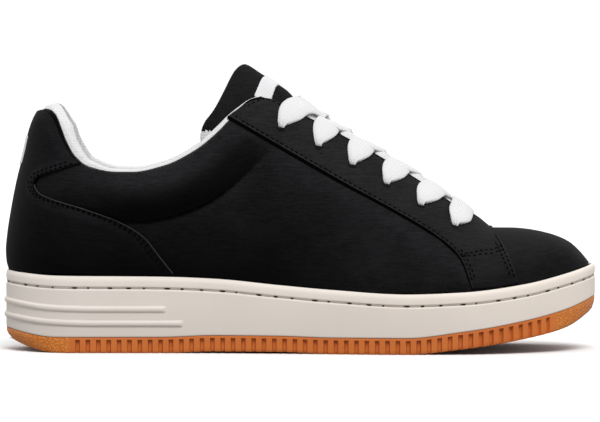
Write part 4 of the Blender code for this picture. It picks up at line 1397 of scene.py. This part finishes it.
def lace_path(start, stop, raised, tuck):
    """Middle line of one lace strip and the upward direction of what it lies on."""
    share = np.linspace(0, 1, 90)
    lean = 0.0 if tuck else BAR_LEAN
    x = start[0] + (stop[0] - start[0]) * share + lean * share * (1 - share)
    y = start[1] + (stop[1] - start[1]) * share
    slope_x = (lace_bed(x + 1, y) - lace_bed(x - 1, y)) / 2
    slope_y = (lace_bed(x, y + 1) - lace_bed(x, y - 1)) / 2
    hump = raised * bell(y / CROSS_WIDE)
    sink = HOLE_DIVE * (1 - ease(share / DIVE_SHARE))
    if tuck:
        sink = sink + tuck * ease((share - TUCK_FROM) / TUCK_RUN)
    else:
        sink = sink + HOLE_DIVE * (1 - ease((1 - share) / DIVE_SHARE))
    z = lace_bed(x, y) + LACE_THICK / 2 + hump - sink
    up = np.stack((-slope_x, -slope_y, np.ones_like(x)), axis=-1)
    return np.stack((x, middle(x) + y, z), axis=-1), up


def fanned(run):
    """Share of a strip's full width at a distance from its eyelet."""
    opened = np.sin(np.clip((run - TIP_HIDDEN) / FAN_LONG, 0, 1) * np.pi / 2) ** FAN_FULL
    return LACE_NARROW + (1 - LACE_NARROW) * opened


def add_lace(bm, start, stop, raised, tuck):
    """One flat strip that fans out of an eyelet; without a tuck it ends in the opposite eyelet."""
    line, up = lace_path(start, stop, raised, tuck)
    run = np.concatenate(([0.0], np.cumsum(np.linalg.norm(np.diff(line, axis=0), axis=1))))
    fan = fanned(run) if tuck else np.minimum(fanned(run), fanned(run[-1] - run))
    forward = unit(np.gradient(line, axis=0))
    across = unit(np.cross(up, forward))
    outward = np.cross(forward, across)
    wide = LACE_WIDE / 2 * fan
    thick = LACE_THICK / 2 * (1 + LACE_GATHER * (1 - fan))
    turn = np.linspace(0, 2 * np.pi, LACE_SIDES + 1)[:, None]
    flat = np.sign(np.cos(turn)) * np.abs(np.cos(turn)) ** LACE_FLAT_POWER * wide
    high = np.sign(np.sin(turn)) * np.abs(np.sin(turn)) ** LACE_HIGH_POWER * thick
    high = high + LACE_FOLD * (1 - fan) * np.cos(LACE_FOLDS * turn)
    add_grid(bm, line[None] + flat[..., None] * across[None] + high[..., None] * outward[None])


def build_laces(weave):
    """Crossings from each eyelet to the next one on the other side, and the lowest straight bar."""
    bm = bmesh.new()
    for index in range(EYELET_COUNT - 1):
        x, across = eyelet(index)
        for side in SIDES:
            step, lift, tuck = LACE_STEP, -side * LACE_CROSS, TUCK_DIVE
            if index == 0 and side == LATERAL:
                step, lift = TOP_LACE_STEP, lift + TOP_LACE_LIFT
            elif index == 0:
                lift, tuck = lift - TOP_LACE_SINK, tuck + TOP_TUCK
            stop = (x + step, -side * (throat_half(x + step) - LACE_INSIDE))
            add_lace(bm, (x, side * across), stop, lift, tuck)
    x, across = eyelet(EYELET_COUNT - 1)
    add_lace(bm, (x, -across), (x, across), BAR_LIFT, 0.0)
    fill_ends(bm)
    finish_piece("lace_strips", bm, [weave], ["laces"])


# The sole
TOE_START = 78.0
SLOPE_STEP = 0.1
RIB_HALF = 1.35
RIB_END_REACH = 1.5
FOOT_BEVEL = 0.9
FOOT_INSET = 0.35
BEAD_ROWS = 28
BEAD_INNER = 2.0
BEAD_INNER_BELOW = 0.1
CUP_BELOW = 0.8
SOLE_PITCH = 8.6
THREAD_SIZE = (10.0, 0.55, 0.5)
THREAD_INSET = 0.62
THREAD_LIFT = -0.4
THREAD_BELOW = 5.55
# Needle holes, dark marks of painted shade: their size, and how uneven their lengths and places are
NEEDLE_LONG = 2.6
NEEDLE_LONGER = 1.3
NEEDLE_TURN = 2.4
NEEDLE_SHIFT = 0.002
NEEDLE_REACH = 0.0012
NEEDLE_WIDE = 0.8
NEEDLE_HIGH = 0.9
NEEDLE_PITCH = 10.0
# One notch of the gum rubber: places as shares of its width, and shares of its depth
NOTCH_PLACES = (-0.5, -0.42, -0.3, 0.3, 0.42, 0.5, 1.1)
NOTCH_SHARES = (0.0, 0.7, 1.0, 1.0, 0.7, 0.0, 0.0)
NOTCH_HEEL_CLEAR = 2.0
NOTCH_TOE_CLEAR = 3.0
NOTCH_SHALLOW = 0.8
# Rings of the gum rubber's rounded foot and top: inset, share of the tuck under the ends, and lift
TREAD_INSET = 3.2
GUM_FOOT = table("inset tuck lift", (0.9, 1.0, 0.0), (0.45, 0.9, 0.15), (RUBBER_INSET, 0.75, 0.6))
GUM_SHARES = (0.2, 0.4, 0.6, 0.8, 0.95)
GUM_TOP = table(
    "inset lift",
    (RUBBER_INSET, 0.15 - NOTCH_ROOF), (RUBBER_INSET, -0.3),
    (RUBBER_INSET + 0.05, -0.1), (RUBBER_INSET + 0.3, 0.0),
)
TUCK_UNDER = 3.0
TUCK_HEEL = 30.0
TUCK_TOE = 24.0
TREAD_FACES_DOWN = -0.9
GUM_SHARP = 38.0


def inset_x(x, inset):
    """A station moved in with the outline's ends."""
    share = (x - HEEL_END) / (TOE_END - HEEL_END)
    return x + inset * (1 - 2 * share)


def edge_y(side, x, inset):
    """Where the sole's edge lies at a station."""
    return middle(x) + side * sole_half(side, x, inset)


def sole_ring(stations, inset, height, notch=None):
    """A closed line round the sole.

    Inset is a value or a function of x, height a function of x, and notch a depth at each station.
    """
    halves = []
    for side, x in ((LATERAL, stations), (MEDIAL, stations[::-1])):
        depth = inset(x) if callable(inset) else np.full_like(x, inset)
        at = inset_x(x, depth)
        y = edge_y(side, at, depth)
        z = height(at)
        if notch is not None:
            ahead, behind = (edge_y(side, at + step, depth) for step in (SLOPE_STEP, -SLOPE_STEP))
            slope = (ahead - behind) / (2 * SLOPE_STEP)
            cut = notch if side == LATERAL else notch[::-1]
            bend = np.sqrt(1 + slope * slope)
            at = at + side * slope / bend * cut
            y = y - side / bend * cut
        halves.append(np.stack((at, y, z), axis=-1))
    return np.concatenate(halves + [halves[0][:1]])


def middle_line(stations, height):
    """The closed ring pressed flat onto the sole's middle line."""
    x = np.concatenate((stations, stations[::-1], stations[:1]))
    return np.stack((x, middle(x), height(x)), axis=-1)


def over(curve, offset):
    """A height curve raised by an offset."""
    return lambda x: curve(x) + offset


def sole_stations():
    """Stations of the plain soles, close together round the heel, the ribs' ends and the toe."""
    ends = np.concatenate([rib.end + np.linspace(-RIB_END_REACH, RIB_END_REACH, 9) for rib in RIBS])
    heel = heel_spread(HEEL_END, HEEL_RADIUS, 40)
    side = spread(HEEL_END + HEEL_RADIUS, TOE_START, 90)
    return np.concatenate((np.sort(np.concatenate((heel, side, ends))), toe_spread(TOE_START, TOE_END, 56)))


def rib_line(rib):
    """Height of a heel rib, which sweeps up round the back."""
    stations = (HEEL_END, HEEL_END + 0.5 * RIB_SWEEP, HEEL_END + RIB_SWEEP, TOE_END)
    return fair_curve(stations, (rib.back_z, rib.side_z + RIB_SET, rib.side_z, rib.side_z))


def side_inset(height):
    """Inset of the midsole's side at a height curve: the ribs stand out at the heel."""
    lines = [(rib, rib_line(rib)) for rib in RIBS]

    def inset(x):
        proud = np.zeros_like(x)
        for rib, line in lines:
            off = np.abs(height(x) - line(x)) / RIB_HALF
            on = 1 - ease((x - rib.end) / RIB_RAMP)
            proud = np.maximum(proud, RIB_PROUD * on * np.sqrt(np.clip(1 - off * off, 0, 1)))
        return -proud

    return inset


def side_height(share):
    """Height curve at a share of the midsole's plain side."""
    def height(x):
        low = seam_z(x) + FOOT_BEVEL
        return low + share * (rim_z(x) - BEAD[0].below - low)

    return height


def build_midsole(rubber, bead_rubber):
    """The cupsole: bevelled foot, ribbed side, stitch channel, rounded bead and the cup inside it."""
    stations = sole_stations()
    bead_inset = fair_curve([-row.below for row in BEAD], [row.inset for row in BEAD])
    cup = RIM_WIDTH - 2 * GAP
    rings = [middle_line(stations, over(seam_z, GAP / 2))]
    rings.append(sole_ring(stations, FOOT_INSET, over(seam_z, GAP / 2)))
    for share in np.linspace(0.2, 0.9, 5):
        inset = FOOT_INSET * (1 - rounded(share))
        rings.append(sole_ring(stations, inset, over(seam_z, GAP / 2 + share * (FOOT_BEVEL - GAP / 2))))
    for share in np.linspace(0, 0.98, 76):
        height = side_height(share)
        rings.append(sole_ring(stations, side_inset(height), height))
    for below in np.linspace(-BEAD[0].below, 0, 30):
        rings.append(sole_ring(stations, float(bead_inset(below)), over(rim_z, below)))
    rings.append(sole_ring(stations, BEAD_INNER, over(rim_z, -BEAD_INNER_BELOW)))
    rings.append(sole_ring(stations, cup, over(rim_z, -CUP_BELOW)))
    rings.append(sole_ring(stations, cup, floor_z))
    rings.append(middle_line(stations, floor_z))
    on_bead = np.arange(len(rings) - 1) >= len(rings) - BEAD_ROWS
    bm = bmesh.new()
    add_grid(bm, np.stack(rings), on_bead[:, None].astype(int))
    finish_piece("cupsole", bm, [rubber, bead_rubber], ["midsole"])


def build_sole_stitches(cream, dark):
    """Long cream stitches in the channel under the bead, with a dark needle hole between them as painted
    shade.
    """
    heel = heel_spread(HEEL_END, HEEL_RADIUS, 60)
    side = spread(HEEL_END + HEEL_RADIUS, TOE_START, 200)
    stations = np.concatenate((heel, side, toe_spread(TOE_START, TOE_END, 90)))
    line = sole_ring(stations, THREAD_INSET, over(rim_z, -THREAD_BELOW))
    above = sole_ring(stations, THREAD_LIFT, over(rim_z, -THREAD_BELOW))
    thread = bmesh.new()
    holes = bmesh.new()
    add_stitches(thread, line, above, SOLE_PITCH, THREAD_SIZE, fineness=2)
    for index, share in enumerate(along(line, SOLE_PITCH, start=0.0)):
        uneven = np.sin(NEEDLE_TURN * index)
        reach = np.linspace(-NEEDLE_REACH, NEEDLE_REACH, 4)
        nearby = np.clip(share + NEEDLE_SHIFT * uneven + reach, 0, 1)
        size = (NEEDLE_LONG + NEEDLE_LONGER * uneven, NEEDLE_WIDE, NEEDLE_HIGH)
        add_stitches(holes, sample(line, nearby), sample(above, nearby), NEEDLE_PITCH, size)
    finish_piece("sole_thread", thread, [cream])
    finish_piece("sole_needle_holes", holes, [dark])


def notch_stations():
    """Stations along one side of the gum rubber and how deep each is cut, evenly along its edge."""
    fine = np.linspace(NOTCH_FIRST, NOTCH_LAST, 800)
    edge = sole_half(LATERAL, fine, 0.0)
    run = np.concatenate(([0.0], np.cumsum(np.hypot(np.diff(fine), np.diff(edge)))))
    centres = np.interp(np.linspace(0, run[-1], NOTCH_COUNT), run, fine)
    lean = np.interp(centres, fine, np.gradient(fine, run))
    depths = np.array(NOTCH_SHARES) * NOTCH_DEEP
    inside = (centres[:, None] + np.array(NOTCH_PLACES)[None] * NOTCH_WIDE * lean[:, None]).ravel()
    heel = heel_spread(HEEL_END, NOTCH_FIRST - NOTCH_HEEL_CLEAR - HEEL_END, 40)
    toe = toe_spread(NOTCH_LAST + NOTCH_TOE_CLEAR, TOE_END, 40)
    stations = np.concatenate((heel, inside, toe))
    cut = np.concatenate((np.zeros_like(heel), np.tile(depths, NOTCH_COUNT), np.zeros_like(toe)))
    return stations, cut


def tucked_under(inset, share):
    """An inset that grows at the heel and the toe by a share of the gum rubber's rounding there."""
    def at(x):
        heel = 1 - ease((x - HEEL_END) / TUCK_HEEL)
        toe = ease((x - TOE_END) / TUCK_TOE + 1)
        return inset + share * (TUCK_UNDER * heel + TUCK_UNDER / 2 * toe)

    return at


def gum_height(share):
    """Height curve at a share of the way up the gum rubber's notches."""
    foot = GUM_FOOT[-1].lift

    def height(x):
        return ground_z(x) + foot + share * (seam_z(x) - NOTCH_ROOF - ground_z(x) - foot)

    return height


def build_outsole(gum, tread):
    """The gum rubber sole, notched all along its edge."""
    stations, cut = notch_stations()
    plain = np.zeros_like(cut)
    rings = [middle_line(stations, ground_z)]
    rings.append(sole_ring(stations, tucked_under(TREAD_INSET, 1.0), ground_z, plain))
    for row in GUM_FOOT:
        rings.append(sole_ring(stations, tucked_under(row.inset, row.tuck), over(ground_z, row.lift), cut))
    for share in GUM_SHARES:
        inset = tucked_under(RUBBER_INSET, GUM_FOOT[-1].tuck * (1 - share) ** 2)
        rings.append(sole_ring(stations, inset, gum_height(share), cut))
    rings.append(sole_ring(stations, RUBBER_INSET, over(seam_z, -NOTCH_ROOF), cut * NOTCH_SHALLOW))
    for row in GUM_TOP:
        rings.append(sole_ring(stations, row.inset, over(seam_z, row.lift), plain))
    rings.append(middle_line(stations, seam_z))
    bm = bmesh.new()
    add_grid(bm, np.stack(rings))
    bm.normal_update()
    piece = finish_piece("gum_outsole", bm, [gum, tread], ["outsole"])
    for face in piece.data.polygons:
        if face.normal.z < TREAD_FACES_DOWN:
            face.material_index = 1
    piece.data.set_sharp_from_angle(angle=np.radians(GUM_SHARP))


def dress_insole(cloth):
    """The insole keeps its solid and gets woven cloth."""
    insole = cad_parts["insole"]
    insole.data.materials.clear()
    insole.data.materials.append(cloth)


# Stage

VIEW_WIDTH = 284.3
VIEW_HEIGHT = 65.3
VIEW_ELEVATION = 2.0
CAMERA_AWAY = 2600.0
SENSOR = 36.0
CLIP_END = 50.0
FLOOR_HALF = 6.0
FLOOR_WHITE = (0.95, 0.95, 0.95)
FLOOR_BOUNCE = (0.4, 0.4, 0.4)
FRONT_LIGHT = 0.42
BACK_LIGHT = 1.03
TOP_LIGHT = 2.2
TOP_LIGHT_SPREAD = 30.0
TOP_LIGHT_FROM = (0.12, -0.6, 0.75)


def add_camera():
    """A long lens, level with the shoe and square to its outer side."""
    data = bpy.data.cameras.new("camera")
    data.sensor_width = SENSOR
    data.sensor_fit = "HORIZONTAL"
    data.lens = SENSOR * CAMERA_AWAY / VIEW_WIDTH
    data.clip_end = CLIP_END
    camera = bpy.data.objects.new("camera", data)
    tilt = np.radians(VIEW_ELEVATION)
    height = VIEW_HEIGHT + CAMERA_AWAY * np.sin(tilt)
    camera.location = Vector((0, -CAMERA_AWAY * np.cos(tilt), height)) * MM
    camera.rotation_euler = (np.pi / 2 - tilt, 0, 0)
    bpy.context.scene.collection.objects.link(camera)
    bpy.context.scene.camera = camera


def add_floor():
    """A plain pale floor."""
    material, tree, shader, _ = new_material("floor_white", 0.9, 0.0)
    seen = add_node(tree, "ShaderNodeLightPath").outputs["Is Camera Ray"]
    feed(tree, shader.inputs["Base Color"], mix_colour(tree, seen, FLOOR_BOUNCE, FLOOR_WHITE))
    bm = bmesh.new()
    bmesh.ops.create_grid(bm, x_segments=1, y_segments=1, size=FLOOR_HALF)
    mesh = bpy.data.meshes.new("floor")
    bm.to_mesh(mesh)
    bm.free()
    mesh.materials.append(material)
    floor = bpy.data.objects.new("floor", mesh)
    bpy.context.scene.collection.objects.link(floor)


def add_lights():
    """Soft studio light: pale surroundings, brighter behind the shoe, and a broad light from above."""
    world = bpy.data.worlds.new("studio")
    world.use_nodes = True
    tree = world.node_tree
    depth = axes(tree, add_node(tree, "ShaderNodeTexCoord").outputs["Generated"])["Y"]
    brightness = map_range(tree, depth, -0.5, 0.3, FRONT_LIGHT, BACK_LIGHT)
    feed_all(tree, tree.nodes["Background"], {"Strength": brightness, "Color": (1, 1, 1, 1)})
    bpy.context.scene.world = world
    data = bpy.data.lights.new("top_light", "SUN")
    data.energy = TOP_LIGHT
    data.angle = np.radians(TOP_LIGHT_SPREAD)
    light = bpy.data.objects.new("top_light", data)
    light.rotation_euler = Vector(TOP_LIGHT_FROM).to_track_quat("Z", "Y").to_euler()
    bpy.context.scene.collection.objects.link(light)
    bpy.context.scene.view_settings.view_transform = "Standard"
    bpy.context.scene.view_settings.look = "None"


def main():
    """Make the materials, build every piece and set the stage."""
    # One black leather in lit and shaded copies: painted light makes the eyestay lighter, painted shade the
    # counter darker
    quarter_black = make_nubuck(
        "quarter_nubuck", (0.0045, 0.0045, 0.0052), (0.022, 0.022, 0.0238), shaded=True)
    vamp_black = make_nubuck("vamp_nubuck", (0.004, 0.004, 0.0044), (0.0155, 0.0155, 0.0167))
    stay_black = make_nubuck(
        "eyestay_nubuck", (0.0105, 0.0105, 0.011), (0.0387, 0.0387, 0.04), low=0.7, shaded=True)
    counter_black = make_nubuck(
        "counter_nubuck", (0.0036, 0.0036, 0.0042), (0.017, 0.017, 0.0187), low=0.25, shaded=True)
    tongue_black = make_nubuck("tongue_nubuck", (0.0045, 0.0045, 0.005), (0.016, 0.016, 0.0172))
    black_thread = make_thread("black_thread", (0.0004, 0.0004, 0.0004), (0.0014, 0.0014, 0.0014))
    cream_thread = make_thread("cream_thread", (0.42, 0.36, 0.31), (0.56, 0.49, 0.43))
    # dark for the lace holes and needle holes: painted shade inside the holes
    hole_dark = make_thread("hole_dark", (0.01, 0.008, 0.007), (0.03, 0.025, 0.02))
    raw_edge = make_nubuck("raw_edge", (0.025, 0.025, 0.027), (0.05, 0.05, 0.052))
    lining = make_lining_mesh()
    build_upper(quarter_black, vamp_black, lining)
    build_eyestay(stay_black, black_thread, hole_dark)
    build_counter(counter_black, raw_edge, black_thread)
    build_lining(lining)
    build_tongue(tongue_black, lining)
    build_labels(make_woven_cloth("label_cloth", (0.66, 0.66, 0.67), (0.8, 0.8, 0.81), 900.0))
    build_laces(make_lace_weave())
    # the cream darkens towards its foot as painted shade; the bead's lighter colours are painted light on
    # its top
    cream = make_cream_rubber("cream_rubber", (0.745, 0.68, 0.622), (0.81, 0.73, 0.655), low=0.9)
    bead_cream = make_cream_rubber("bead_rubber", (0.82, 0.75, 0.685), (0.87, 0.785, 0.705))
    build_midsole(cream, bead_cream)
    build_sole_stitches(cream_thread, hole_dark)
    build_outsole(make_gum_rubber(), make_tread_rubber())
    dress_insole(make_woven_cloth("insole_cloth", (0.42, 0.42, 0.43), (0.62, 0.62, 0.63), 700.0))
    add_camera()
    add_floor()
    add_lights()


main()
